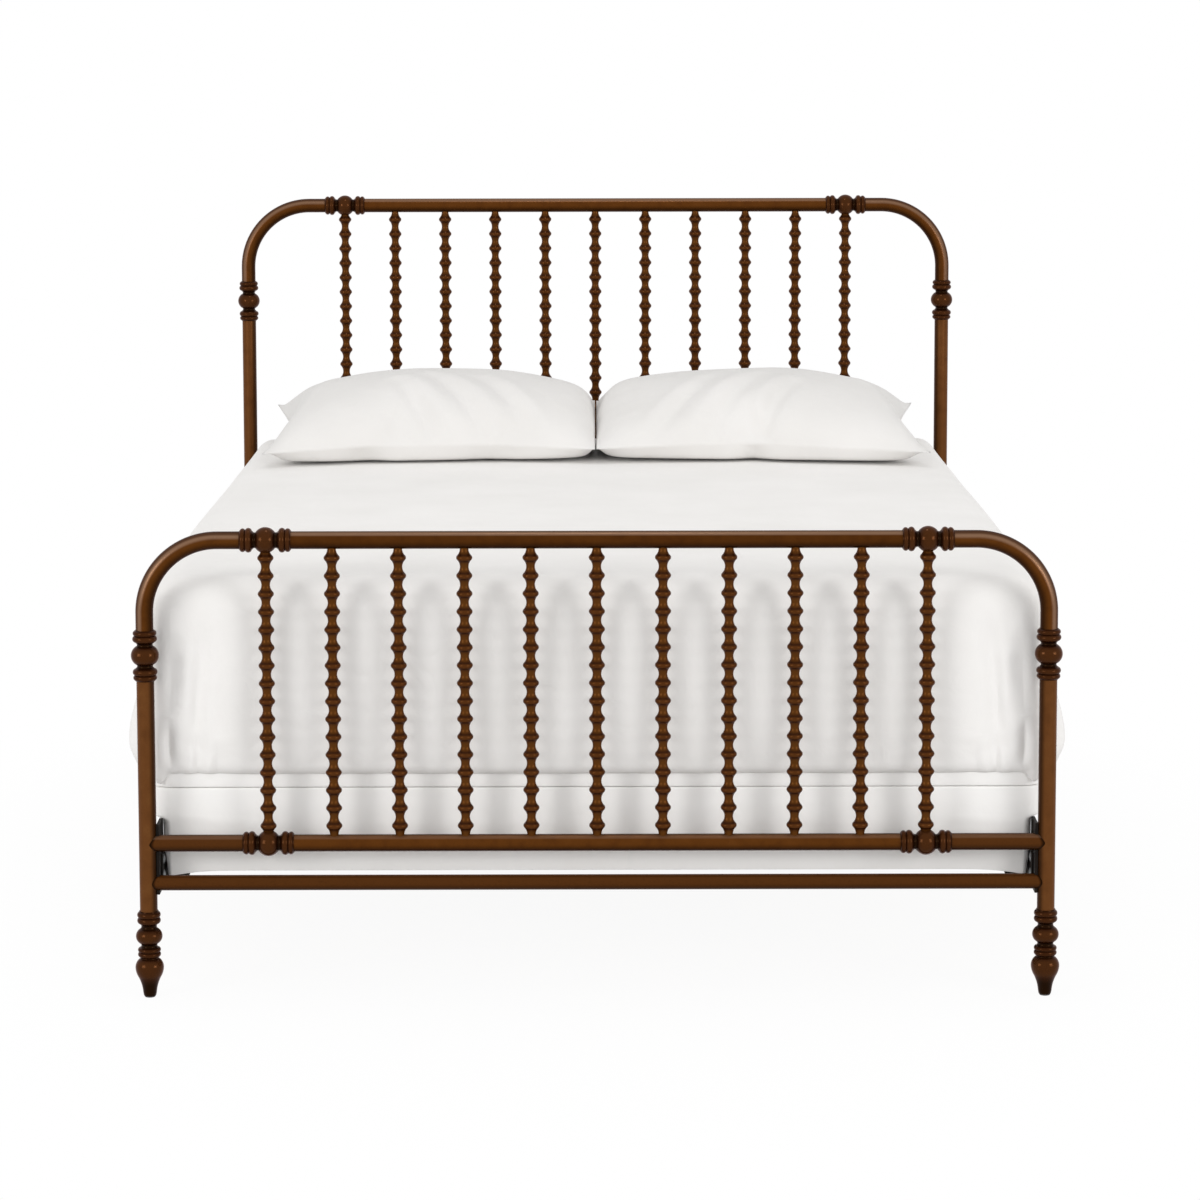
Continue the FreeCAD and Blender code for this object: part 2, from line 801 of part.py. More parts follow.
def duvet_section(y, fall, narrow, fold, flare):
    """Outline of the duvet across the bed: bulging drops, rounded shoulders and a flat top."""
    top = duvet_top - fall
    hem = (bed_half_width + duvet_hem_stand + fold - narrow, duvet_hem)
    stand = duvet_shoulder_stand + flare - narrow
    shoulder = (bed_half_width + stand, top - duvet_shoulder_drop)
    drop = shoulder[1] - duvet_hem
    bulge_height = duvet_hem + duvet_bulge_height_share * drop
    bulge = (bed_half_width + duvet_bulge + fold - narrow, bulge_height)
    crest = (shoulder[0] - duvet_shoulder_width, top)
    turn = (
        shoulder[0] - shoulder_via_share * duvet_shoulder_width,
        top - shoulder_via_share * duvet_shoulder_drop,
    )

    def mirrored(point):
        return (-point[0], point[1])

    spans = [
        (bulge, shoulder),
        (turn, crest),
        (mirrored(crest),),
        (mirrored(turn), mirrored(shoulder)),
        (mirrored(bulge), mirrored(hem)),
        (hem,),
    ]
    return drawn(hem, spans, lambda point: Vec(point[0], y, point[1]))


def duvet_fold(share):
    """How far the side drops stand out or in at a share of the way from the foot to the head."""
    turn = 2 * math.pi * share
    minor = duvet_minor_fold_share * math.sin(duvet_minor_fold_count * turn)
    return duvet_fold_depth * (math.sin(duvet_fold_count * turn) + minor) / (1 + duvet_minor_fold_share)


def duvet_hollow(front, back):
    """The space under the duvet: it follows the mattress's rounded top and widens to the hem."""
    edge = bedding_edge_radius
    ceiling = mattress_top + seat_gap
    roof = bed_half_width + duvet_clearance
    skirt = bed_half_width + duvet_hem_stand - duvet_side_thickness
    far = back + bedding_corner_radius + overrun
    corner = bedding_corner_radius
    rings = [
        rounded_outline(skirt, front, far, corner, duvet_hem - overrun),
        rounded_outline(roof, front, far, corner, ceiling - edge),
        rounded_outline(roof - edge, front + edge, far, corner - edge, ceiling),
    ]
    return Part.makeLoft(rings, True, True)


def duvet():
    """The duvet: soft drops at the foot and both sides, open underneath and at the head."""
    inner_front = bed_front - duvet_clearance
    front = inner_front - duvet_front_thickness
    back = bed_back - duvet_head_gap
    sections = []
    for share in duvet_round_shares:
        run = share * duvet_corner_radius
        fall = round_in(duvet_edge_radius, share)
        narrow = round_in(duvet_corner_radius, share)
        sections.append(duvet_section(front + run, fall, narrow, 0, duvet_shoulder_flare))
    drape_start = front + duvet_corner_radius
    stations = duvet_fold_count * duvet_stations_per_fold
    for station in range(1, stations + 1):
        share = station / stations
        y = drape_start + share * (back - drape_start)
        flare = (1 - share) * duvet_shoulder_flare
        sections.append(duvet_section(y, 0, 0, duvet_fold(share), flare))
    return Part.makeLoft(sections, True, True).cut(duvet_hollow(inner_front, back))


def pillow_section(x, fullness, draw):
    """Outline of a pillow across its length: a domed top, a flat sole and a seam at front and back."""
    back = HEADBOARD.plane - pillow_headboard_gap - draw
    front = HEADBOARD.plane - pillow_headboard_gap - pillow_depth + draw
    base = duvet_top + seat_gap
    depth = back - front
    front_seam = (front, base + pillow_front_seam_height)
    back_seam = (back, base + pillow_back_seam_height)

    def seam_height(share):
        return front_seam[1] + share * (back_seam[1] - front_seam[1])

    def under(share, level_share):
        edge = seam_height(share) - pillow_end_thickness / 2
        sole = base + level_share * (edge - base)
        return (front + share * depth, edge + fullness * (sole - edge))

    rim = seam_height(pillow_crown_share) + pillow_end_thickness / 2
    crown = (front + pillow_crown_share * depth, rim + fullness * (base + pillow_height - rim))
    sole_front = under(pillow_sole_shares[0], 0)
    sole_back = under(pillow_sole_shares[1], 0)
    haunch_front = under(pillow_haunch_shares[0], pillow_haunch_rise_share)
    haunch_back = under(pillow_haunch_shares[1], pillow_haunch_rise_share)
    spans = [
        (crown, back_seam),
        (haunch_back, sole_back),
        (sole_front,),
        (haunch_front, front_seam),
    ]
    return drawn(front_seam, spans, lambda point: Vec(x, point[0], point[1]))


def pillow(side):
    """A plump pillow, lofted along its length from one drawn-in end to the other."""
    middle = side * (pillow_length + pillow_gap) / 2
    sections = []
    for share, fullness_share, draw_share in zip(
        pillow_station_shares, pillow_fullness_shares, pillow_draw_shares
    ):
        x = middle + share * pillow_length / 2
        sections.append(pillow_section(x, fullness_share, draw_share * pillow_draw))
    return Part.makeLoft(sections, True, False)


def board_nodes(board):
    """Every piece of one board, by name."""
    nodes = {
        "top_rail": middle_rail(board, board.height, main_tube_radius, -1),
        "lower_rail": middle_rail(board, lower_rail_height, lower_rail_radius, 1),
        "bottom_rail": bottom_rail(board),
        "spindles": spindles(board),
    }
    for name, side in side_shares.items():
        nodes[f"{name}_post"] = post(board, side)
        nodes[f"{name}_bend"] = bend(board, side)
        nodes[f"{name}_collar"] = collar(board, side)
        nodes[f"{name}_foot"] = foot(board, side)
        nodes[f"{name}_lower_stub"] = lower_stub(board, side)
        nodes[f"{name}_top_joint"] = rail_joint(board, side, board.height, main_tube_radius, -1)
        nodes[f"{name}_lower_joint"] = rail_joint(board, side, lower_rail_height, lower_rail_radius, 1)
        nodes[f"{name}_rail_bracket"] = rail_bracket(board, side)
    return {f"{board.name}_{name}": shape for name, shape in nodes.items()}


def bed_nodes():
    """Every piece of the bed, by name."""
    nodes = {}
    for board in BOARDS:
        nodes.update(board_nodes(board))
    for name, side in side_shares.items():
        nodes[f"{name}_side_rail"] = side_rail(side)
        nodes[f"{name}_rail_ledge"] = ledge_bar(side)
        nodes[f"{name}_pillow"] = pillow(side)
    for index in range(slat_count):
        nodes[f"slat_{index + 1}"] = slat(index)
    nodes["floor_glides"] = floor_glides()
    nodes["rail_bolts"] = rail_bolts()
    nodes["rail_nuts"] = rail_nuts()
    nodes["support_plate"] = support_plate()
    nodes["support_leg"] = support_leg()
    nodes["support_foot"] = support_foot()
    nodes["box_spring"] = box_spring()
    nodes["mattress"] = mattress()
    nodes["duvet"] = duvet()
    return nodes


os.makedirs("parts", exist_ok=True)
for node_name, node_shape in bed_nodes().items():
    node_shape.exportStep(f"parts/{node_name}.step")
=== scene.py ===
import logging
import math
from collections.abc import Callable, Iterable, Sequence
from dataclasses import dataclass
from enum import Enum

import bmesh
import bpy
from mathutils import Matrix, Vector, noise


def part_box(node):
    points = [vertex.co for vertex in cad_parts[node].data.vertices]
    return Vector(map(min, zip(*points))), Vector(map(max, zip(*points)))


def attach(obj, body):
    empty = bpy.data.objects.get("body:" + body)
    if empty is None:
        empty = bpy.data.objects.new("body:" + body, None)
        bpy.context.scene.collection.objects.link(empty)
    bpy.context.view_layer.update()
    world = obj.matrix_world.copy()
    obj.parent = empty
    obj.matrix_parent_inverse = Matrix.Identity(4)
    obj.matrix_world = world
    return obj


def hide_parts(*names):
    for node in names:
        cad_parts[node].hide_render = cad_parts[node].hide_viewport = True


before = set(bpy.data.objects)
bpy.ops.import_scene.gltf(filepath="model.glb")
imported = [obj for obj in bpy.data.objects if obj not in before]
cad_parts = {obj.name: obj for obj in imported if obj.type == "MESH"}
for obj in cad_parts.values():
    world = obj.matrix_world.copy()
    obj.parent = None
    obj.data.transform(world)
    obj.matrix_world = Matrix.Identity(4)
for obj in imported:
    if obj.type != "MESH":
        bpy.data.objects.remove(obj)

LOG = logging.getLogger("spindle_bed")
Colour = tuple[float, float, float, float]
Point = tuple[float, float, float]


class TurnAxis(Enum):
    """The way the axis of a turned piece runs."""

    ALONG_RAIL = "along the rail"
    UPRIGHT_POST = "upright, at a post"
    UPRIGHT_ROW = "upright, in a row of spindles"


class Side(Enum):
    """The two sides of the bed, as seen from its foot."""

    LEFT = -1
    RIGHT = 1


class Board(Enum):
    """The two boards of the bed, by the first word of their solids' names."""

    FOOT = "footboard"
    HEAD = "headboard"


# Places shared with the solids, in metres
POST_X = 0.790
BOARD_Y = 1.065
BOTTOM_RAIL_Z = 0.205
LOWER_RAIL_Z = 0.276
RAIL_RADIUS = 0.015
TOP_RAIL_Z = {Board.FOOT: 0.814, Board.HEAD: 1.264}
BEND_RADIUS = {Board.FOOT: 0.128, Board.HEAD: 0.140}
SPINDLE_PITCH = {Board.FOOT: 0.1155, Board.HEAD: 0.1138}

# The sockets of a node that mixes two colours, and settings that several nodes share
MIX_SHARE, MIX_FIRST, MIX_SECOND, MIX_RESULT = 0, 6, 7, 2
COLOUR_MIX = {"data_type": "RGBA"}
SMOOTH_RISE = {"interpolation_type": "SMOOTHSTEP"}


def linear(code: str) -> Colour:
    """Turn an sRGB hex colour into linear light.

    Args:
        code: The colour as "#rrggbb".

    Returns:
        Linear red, green, blue and an alpha of one.
    """
    shares = [int(code[at:at + 2], 16) / 255 for at in (1, 3, 5)]
    red, green, blue = (s / 12.92 if s <= 0.04045 else ((s + 0.055) / 1.055) ** 2.4 for s in shares)
    return red, green, blue, 1.0


def per_metre(size_mm: float) -> float:
    """Return the texture scale whose features are about that many millimetres across."""
    return 1000 / size_mm


def band_scale(spacing_mm: float) -> float:
    """Return the wave texture scale whose bands stand that many millimetres apart."""
    return math.pi * 100 / spacing_mm


def clamp(value: float, low: float, high: float) -> float:
    """Return the value, kept between two limits."""
    return min(max(value, low), high)


def ease(low: float, high: float, value: float) -> float:
    """Return a share that rises smoothly from zero at the low limit to one at the high limit."""
    share = clamp((value - low) / (high - low), 0.0, 1.0)
    return share * share * (3 - 2 * share)


def connect(tree: bpy.types.NodeTree, node: bpy.types.Node, inputs: dict[str | int, object]) -> None:
    """Set or link the inputs of a node.

    Args:
        tree: The node tree.
        node: The node.
        inputs: Values or output sockets for its inputs, by name or index.
    """
    for key, value in inputs.items():
        if isinstance(value, bpy.types.NodeSocket):
            tree.links.new(value, node.inputs[key])
        else:
            node.inputs[key].default_value = value


def add_node(
    tree: bpy.types.NodeTree,
    kind: str,
    settings: dict[str, object] | None = None,
    inputs: dict[str | int, object] | None = None,
) -> bpy.types.Node:
    """Add a shader node with its settings and inputs.

    Args:
        tree: The node tree that takes the node.
        kind: The node's type name, without "ShaderNode".
        settings: The node's properties, by name.
        inputs: Values or output sockets for its inputs, by name or index.

    Returns:
        The new node.
    """
    node = tree.nodes.new("ShaderNode" + kind)
    for name, value in (settings or {}).items():
        setattr(node, name, value)
    connect(tree, node, inputs or {})
    return node


@dataclass(frozen=True)
class Finish:
    """A surface finish, which makes one material."""

    name: str

    def material(self) -> bpy.types.Material:
        """Find the finish's material, or make it at its first use.

        Returns:
            The material.
        """
        found = bpy.data.materials.get(self.name)
        if found is None:
            found = bpy.data.materials.new(self.name)
            found.use_nodes = True
            tree = found.node_tree
            place = add_node(tree, "TexCoord").outputs["Object"]
            connect(tree, tree.nodes["Principled BSDF"], self.paint(tree, place))
        return found

    def paint(self, tree: bpy.types.NodeTree, place: bpy.types.NodeSocket) -> dict[str, object]:
        """Add the finish's nodes.

        Args:
            tree: The material's node tree.
            place: The point in the object's own coordinates.

        Returns:
            Values or output sockets for the inputs of the Principled shader.
        """
        raise NotImplementedError


@dataclass(frozen=True)
class Turning:
    """Where a turned or cast shape has its axis, and the radii of its grooves and crests in metres."""

    axis: TurnAxis
    groove_radius: float
    crest_radius: float
    height: float = 0.0
    pitch: float = 0.0

    def distance(self, tree: bpy.types.NodeTree, place: bpy.types.NodeSocket) -> bpy.types.NodeSocket:
        """Measure how far a point is from the axis that its piece was turned about.

        Args:
            tree: The material's node tree.
            place: The point in the object's own coordinates.

        Returns:
            A socket with the distance in metres.
        """
        subtract, absolute = {"operation": "SUBTRACT"}, {"operation": "ABSOLUTE"}
        split = add_node(tree, "SeparateXYZ", inputs={0: place}).outputs
        depth = add_node(tree, "Math", absolute, {0: split["Y"]})
        depth = add_node(tree, "Math", subtract, {0: depth.outputs[0], 1: BOARD_Y})
        if self.axis is TurnAxis.ALONG_RAIL:
            other = add_node(tree, "Math", subtract, {0: split["Z"], 1: self.height})
        elif self.axis is TurnAxis.UPRIGHT_POST:
            other = add_node(tree, "Math", absolute, {0: split["X"]})
            other = add_node(tree, "Math", subtract, {0: other.outputs[0], 1: POST_X})
        else:
            half = self.pitch / 2
            other = add_node(tree, "Math", {"operation": "WRAP"}, {0: split["X"], 1: half, 2: -half})
        across = add_node(tree, "CombineXYZ", inputs={0: depth.outputs[0], 1: other.outputs[0]})
        return add_node(tree, "VectorMath", {"operation": "LENGTH"}, {0: across.outputs[0]}).outputs["Value"]


@dataclass(frozen=True)
class Run:
    """The line that a tube runs along, level or round a board's corners, and the painted highlight and
    painted shade laid along it.
    """

    height: float
    bend: float = 0.0
    # The shares below paint a highlight line on the tube's outer side, painted shade towards its outer edge
    # and at its rim, and painted shade over its inner side
    pale: float = 0.0
    highlight_from: tuple[float, float] = (0.52, 0.72)
    edge_shade: float = 0.0
    rim: float = 0.6
    dark: float = 0.8
    shade_to: float = 0.05

    def offset(self, tree: bpy.types.NodeTree, place: bpy.types.NodeSocket) -> bpy.types.NodeSocket:
        """Measure how far a point is from the tube's axis, towards the outer side of its board.

        Args:
            tree: The material's node tree.
            place: The point in the object's own coordinates.

        Returns:
            A socket with the distance as a share of the tube's radius.
        """
        split = add_node(tree, "SeparateXYZ", inputs={0: place}).outputs
        out, axis = split["Z"], self.height
        if self.bend:
            across = add_node(tree, "Math", {"operation": "ABSOLUTE"}, {0: split["X"]}).outputs[0]
            both = add_node(tree, "CombineXYZ")
            for index, (reach, corner) in enumerate(((across, POST_X), (split["Z"], self.height))):
                beyond = add_node(tree, "Math", {"operation": "SUBTRACT"}, {0: reach, 1: corner - self.bend})
                beyond = add_node(tree, "Math", {"operation": "MAXIMUM"}, {0: beyond.outputs[0], 1: 0.0})
                connect(tree, both, {index: beyond.outputs[0]})
            length = add_node(tree, "VectorMath", {"operation": "LENGTH"}, {0: both.outputs[0]})
            out, axis = length.outputs["Value"], self.bend
        radius = {"From Min": axis - RAIL_RADIUS, "From Max": axis + RAIL_RADIUS, "To Min": -1.0}
        return add_node(tree, "MapRange", {"clamp": False}, {"Value": out, **radius}).outputs[0]

    def paint_highlight_and_shade(
        self, tree: bpy.types.NodeTree, place: bpy.types.NodeSocket, colour: bpy.types.NodeSocket
    ) -> bpy.types.NodeSocket:
        """Paint a highlight line on a tube's outer side, and paint shade on its inner side and its rim.

        Args:
            tree: The material's node tree.
            place: The point in the object's own coordinates.
            colour: The lacquer's colour.

        Returns:
            A socket with the tube's colour.
        """
        offset = self.offset(tree, place)
        # A painted highlight line, painted shade towards the outer edge, painted shade at the rim, and
        # painted shade over the inner side
        layers = (
            (*self.highlight_from, 0.0, self.pale, "#8a6d58"),
            (0.55, 0.85, 0.0, self.edge_shade, "#371b08"),
            (0.90, 0.99, 0.0, self.rim, "#1a0a02"),
            (-0.85, self.shade_to, self.dark, 0.0, "#1a0a02"),
        )
        for start, end, first, last, layer in layers:
            rise = {"From Min": start, "From Max": end, "To Min": first, "To Max": last}
            share = add_node(tree, "MapRange", SMOOTH_RISE, {"Value": offset, **rise}).outputs[0]
            mixed = {MIX_SHARE: share, MIX_FIRST: colour, MIX_SECOND: linear(layer)}
            colour = add_node(tree, "Mix", COLOUR_MIX, mixed).outputs[MIX_RESULT]
        return colour


@dataclass(frozen=True)
class AgedBronze(Finish):
    """Bronze lacquer rubbed by hand over steel: brown satin, dark in grooves and coppery on crests."""

    groove: str = "#180902"
    body: str = "#301607"
    crest: str = "#42240f"
    glint: str = "#deac80"
    body_from: float = 0.5
    crest_from: float = 0.55
    metallic: float = 0.25
    gloss: float = 0.14
    turning: Turning | None = None
    run: Run | None = None
    rough: tuple[float, float] = (0.30, 0.20)

    def paint(self, tree: bpy.types.NodeTree, place: bpy.types.NodeSocket) -> dict[str, object]:
        """Add the rubbed lacquer.

        Args:
            tree: The material's node tree.
            place: The point in the object's own coordinates.

        Returns:
            Values or output sockets for the inputs of the Principled shader.
        """
        # Patches of 25 mm that were rubbed more or less, a cloud of 4 mm in them, and orange peel of 2 mm
        patches, cloud, peel = (
            add_node(
                tree, "TexNoise", None, {"Vector": place, "Scale": per_metre(size), "Detail": detail}
            ).outputs["Fac"]
            for size, detail in ((25, 4.0), (4, 3.0), (2, 2.0))
        )
        rubbed = patches
        if self.turning is not None:
            # The distance from the axis picks the groove, body and crest colours: patina in the grooves and
            # wear on the crests of the castings, and on the spindles a painted reflection in the hollows,
            # painted shade on the bead slopes and a painted highlight on their rims
            radii = {"From Min": self.turning.groove_radius, "From Max": self.turning.crest_radius}
            away = self.turning.distance(tree, place)
            wear_and_light = add_node(tree, "MapRange", SMOOTH_RISE, {"Value": away, **radii})
            uneven = add_node(tree, "MapRange", None, {"Value": patches, "To Min": -0.12, "To Max": 0.12})
            total = {0: wear_and_light.outputs[0], 1: uneven.outputs[0]}
            rubbed = add_node(tree, "Math", {"operation": "ADD", "use_clamp": True}, total).outputs[0]
        low = add_node(tree, "MapRange", None, {"Value": rubbed, "From Max": self.body_from})
        high = add_node(tree, "MapRange", None, {"Value": rubbed, "From Min": self.crest_from})
        thin = {"From Min": 0.55, "From Max": 0.8, "To Max": 0.22}
        speck = add_node(tree, "MapRange", None, {"Value": cloud, **thin})
        colour = linear(self.groove)
        for share, layer in ((low, self.body), (high, self.crest), (speck, self.groove)):
            mixed = {MIX_SHARE: share.outputs[0], MIX_FIRST: colour, MIX_SECOND: linear(layer)}
            colour = add_node(tree, "Mix", COLOUR_MIX, mixed).outputs[MIX_RESULT]
        # A run paints a highlight line and shade along the tube
        if self.run is not None:
            colour = self.run.paint_highlight_and_shade(tree, place, colour)
        matt = {"To Min": self.rough[0], "To Max": self.rough[1]}
        rough = add_node(tree, "MapRange", None, {"Value": rubbed, **matt})
        bump = add_node(tree, "Bump", None, {"Strength": 0.12, "Distance": 0.0003, "Height": peel})
        return {
            "Base Color": colour,
            "Roughness": rough.outputs[0],
            "Normal": bump.outputs[0],
            "Metallic": self.metallic,
            "Specular IOR Level": self.gloss,
            "Specular Tint": linear(self.glint),
        }


@dataclass(frozen=True)
class ScuffedSkin(Finish):
    """A dark matt skin with a fine grit, and patches that handling has scuffed."""

    colour: str
    scuffed: str
    grit_mm: float
    grit_detail: float
    grit_strength: float
    grit_depth: float
    patch_mm: float
    patch_detail: float
    patch_from: tuple[float, float]
    rough: tuple[float, float]
    gloss: float

    def paint(self, tree: bpy.types.NodeTree, place: bpy.types.NodeSocket) -> dict[str, object]:
        """Add the grit and the scuffs.

        Args:
            tree: The material's node tree.
            place: The point in the object's own coordinates.

        Returns:
            Values or output sockets for the inputs of the Principled shader.
        """
        grit, patches = (
            add_node(
                tree, "TexNoise", None, {"Vector": place, "Scale": per_metre(size), "Detail": detail}
            ).outputs["Fac"]
            for size, detail in ((self.grit_mm, self.grit_detail), (self.patch_mm, self.patch_detail))
        )
        limits = {"From Min": self.patch_from[0], "From Max": self.patch_from[1]}
        share = add_node(tree, "MapRange", None, {"Value": patches, **limits}).outputs[0]
        mixed = {MIX_SHARE: share, MIX_FIRST: linear(self.colour), MIX_SECOND: linear(self.scuffed)}
        colour = add_node(tree, "Mix", COLOUR_MIX, mixed)
        matt = {"To Min": self.rough[0], "To Max": self.rough[1]}
        rough = add_node(tree, "MapRange", None, {"Value": share, **matt})
        depth = {"Strength": self.grit_strength, "Distance": self.grit_depth}
        bump = add_node(tree, "Bump", None, {"Height": grit, **depth})
        return {
            "Base Color": colour.outputs[MIX_RESULT],
            "Roughness": rough.outputs[0],
            "Normal": bump.outputs[0],
            "Specular IOR Level": self.gloss,
        }


@dataclass(frozen=True)
class PowderCoat(ScuffedSkin):
    """Dark powder coat baked on steel: a matt skin with a fine sandy texture and a few rubbed spots."""

    colour: str = "#0d0805"
    scuffed: str = "#1c130d"
    # The sand of the coat is 0.3 mm, drawn at 1.5 mm so that it shows
    grit_mm: float = 1.5
    grit_detail: float = 2.0
    grit_strength: float = 0.2
    grit_depth: float = 0.0004
    patch_mm: float = 40.0
    patch_detail: float = 5.0
    patch_from: tuple[float, float] = (0.45, 0.75)
    rough: tuple[float, float] = (0.62, 0.5)
    gloss: float = 0.12


@dataclass(frozen=True)
class MouldedPlastic(ScuffedSkin):
    """Moulded nylon or polypropylene: an even dark body with a fine spark-eroded texture."""

    colour: str = "#1b1a19"
    scuffed: str = "#383634"
    grit_mm: float = 0.8
    grit_detail: float = 1.0
    grit_strength: float = 0.15
    grit_depth: float = 0.0002
    patch_mm: float = 12.0
    patch_detail: float = 4.0
    patch_from: tuple[float, float] = (0.5, 0.8)
    rough: tuple[float, float] = (0.45, 0.65)
    gloss: float = 0.5


@dataclass(frozen=True)
class ZincPlate(Finish):
    """Bright zinc plating on steel fasteners: pale blue-grey metal, cloudy from handling."""

    pale: str = "#b9bcbe"
    dull: str = "#868a8d"
    spangle_mm: float = 3.0

    def paint(self, tree: bpy.types.NodeTree, place: bpy.types.NodeSocket) -> dict[str, object]:
        """Add the plating.

        Args:
            tree: The material's node tree.
            place: The point in the object's own coordinates.

        Returns:
            Values or output sockets for the inputs of the Principled shader.
        """
        cells = add_node(tree, "TexVoronoi", None, {"Vector": place, "Scale": per_metre(self.spangle_mm)})
        spangle = cells.outputs["Distance"]
        mixed = {MIX_SHARE: spangle, MIX_FIRST: linear(self.pale), MIX_SECOND: linear(self.dull)}
        colour = add_node(tree, "Mix", COLOUR_MIX, mixed)
        rough = add_node(tree, "MapRange", None, {"Value": spangle, "To Min": 0.28, "To Max": 0.5})
        return {"Base Color": colour.outputs[MIX_RESULT], "Roughness": rough.outputs[0], "Metallic": 1.0}


@dataclass(frozen=True)
class PlanedPine(Finish):
    """Planed pine left bare: pale yellow early wood with darker late-wood lines along the board."""

    early: str = "#d9b98a"
    late: str = "#b48753"
    ring_mm: float = 7.0
    pore_mm: float = 1.0

    def paint(self, tree: bpy.types.NodeTree, place: bpy.types.NodeSocket) -> dict[str, object]:
        """Add the grain.

        Args:
            tree: The material's node tree.
            place: The point in the object's own coordinates.

        Returns:
            Values or output sockets for the inputs of the Principled shader.
        """
        # The grain runs across the bed, so lengths along X are drawn out twelve times
        along = add_node(tree, "Mapping", None, {"Vector": place, "Scale": (1 / 12, 1.0, 1.0)}).outputs[0]
        bands = {"Scale": band_scale(self.ring_mm), "Distortion": 5.0, "Detail": 3.0, "Detail Scale": 0.6}
        rings = add_node(tree, "TexWave", {"bands_direction": "Y"}, {"Vector": along, **bands}).outputs["Fac"]
        grain = {"Vector": along, "Scale": per_metre(self.pore_mm), "Detail": 3.0}
        pores = add_node(tree, "TexNoise", None, grain).outputs["Fac"]
        mixed = {MIX_SHARE: rings, MIX_FIRST: linear(self.early), MIX_SECOND: linear(self.late)}
        colour = add_node(tree, "Mix", COLOUR_MIX, mixed)
        rough = add_node(tree, "MapRange", None, {"Value": pores, "To Min": 0.5, "To Max": 0.75})
        bump = add_node(tree, "Bump", None, {"Strength": 0.25, "Distance": 0.0004, "Height": pores})
        return {
            "Base Color": colour.outputs[MIX_RESULT],
            "Roughness": rough.outputs[0],
            "Normal": bump.outputs[0],
        }


@dataclass(frozen=True)
class CottonCloth(Finish):
    """Washed white cotton, plain woven: matt and soft, with a fine weave and small creases."""

    thread: str = "#f3f1ef"
    shade: str = "#e9e7e4"
    shade_mm: float = 160.0
    weave_mm: float = 1.6
    crease_mm: float = 45.0
    crease_depth: float = 0.0035
    quilt_mm: float = 0.0

    def paint(self, tree: bpy.types.NodeTree, place: bpy.types.NodeSocket) -> dict[str, object]:
        """Add the weave, the creases and any quilting.

        Args:
            tree: The material's node tree.
            place: The point in the object's own coordinates.

        Returns:
            Values or output sockets for the inputs of the Principled shader.
        """
        # Threads stand 0.35 mm apart, drawn coarser so that they show. Two of the directions lie in any face
        threads = {"Vector": place, "Scale": band_scale(self.weave_mm), "Distortion": 0.6, "Detail": 1.0}
        first, *others = (
            add_node(tree, "TexWave", {"bands_direction": direction}, threads).outputs["Fac"]
            for direction in "XYZ"
        )
        weave = first
        for band in others:
            weave = add_node(tree, "Math", {"operation": "ADD"}, {0: weave, 1: band}).outputs[0]
        crumple = {"Scale": per_metre(self.crease_mm), "Detail": 3.0, "Roughness": 0.45, "Distortion": 0.7}
        creases = add_node(tree, "TexNoise", None, {"Vector": place, **crumple})
        clouds = {"Vector": place, "Scale": per_metre(self.shade_mm), "Detail": 2.0}
        tone = add_node(tree, "TexNoise", None, clouds).outputs["Fac"]
        mixed = {MIX_SHARE: tone, MIX_FIRST: linear(self.thread), MIX_SECOND: linear(self.shade)}
        colour = add_node(tree, "Mix", COLOUR_MIX, mixed)
        matt = {"From Max": 3.0, "To Min": 0.82, "To Max": 0.95}
        rough = add_node(tree, "MapRange", None, {"Value": weave, **matt})
        depth = {"Strength": 0.55, "Distance": self.crease_depth}
        under = add_node(tree, "Bump", None, {"Height": creases.outputs["Fac"], **depth}).outputs[0]
        if self.quilt_mm:
            under = self.quilting(tree, place, under)
        depth = {"Strength": 0.12, "Distance": 0.0003}
        fine = add_node(tree, "Bump", None, {"Height": weave, "Normal": under, **depth})
        return {
            "Base Color": colour.outputs[MIX_RESULT],
            "Roughness": rough.outputs[0],
            "Normal": fine.outputs[0],
            "Sheen Weight": 0.12,
            "Sheen Roughness": 0.5,
            "Specular IOR Level": 0.25,
        }

    def quilting(
        self, tree: bpy.types.NodeTree, place: bpy.types.NodeSocket, under: bpy.types.NodeSocket
    ) -> bpy.types.NodeSocket:
        """Add diamond quilting that shows on level and upright faces alike.

        Args:
            tree: The material's node tree.
            place: The point in the object's own coordinates.
            under: The normal under the quilting.

        Returns:
            The normal with the quilting.
        """
        turns = math.pi * 1000 / self.quilt_mm
        tops = []
        for way in ((1, 1, 1), (1, 1, -1), (1, -1, 1)):
            line = {0: place, 1: tuple(turns * step for step in way)}
            along = add_node(tree, "VectorMath", {"operation": "DOT_PRODUCT"}, line)
            wave = add_node(tree, "Math", {"operation": "SINE"}, {0: along.outputs["Value"]})
            ridge = add_node(tree, "Math", {"operation": "ABSOLUTE"}, {0: wave.outputs[0]})
            top = add_node(tree, "Math", {"operation": "POWER"}, {0: ridge.outputs[0], 1: 0.4})
            tops.append(top.outputs[0])
        puff = tops[0]
        for top in tops[1:]:
            puff = add_node(tree, "Math", {"operation": "MINIMUM"}, {0: puff, 1: top}).outputs[0]
        return add_node(
            tree, "Bump", None, {"Strength": 0.6, "Distance": 0.005, "Height": puff, "Normal": under}
        ).outputs[0]


def put(name: str, data: bpy.types.ID) -> bpy.types.Object:
    """Put a new object in the scene, at the origin.

    Args:
        name: The object's name.
        data: Its mesh, lamp or camera.

    Returns:
        The new object.
    """
    thing = bpy.data.objects.new(name, data)
    bpy.context.scene.collection.objects.link(thing)
    return thing


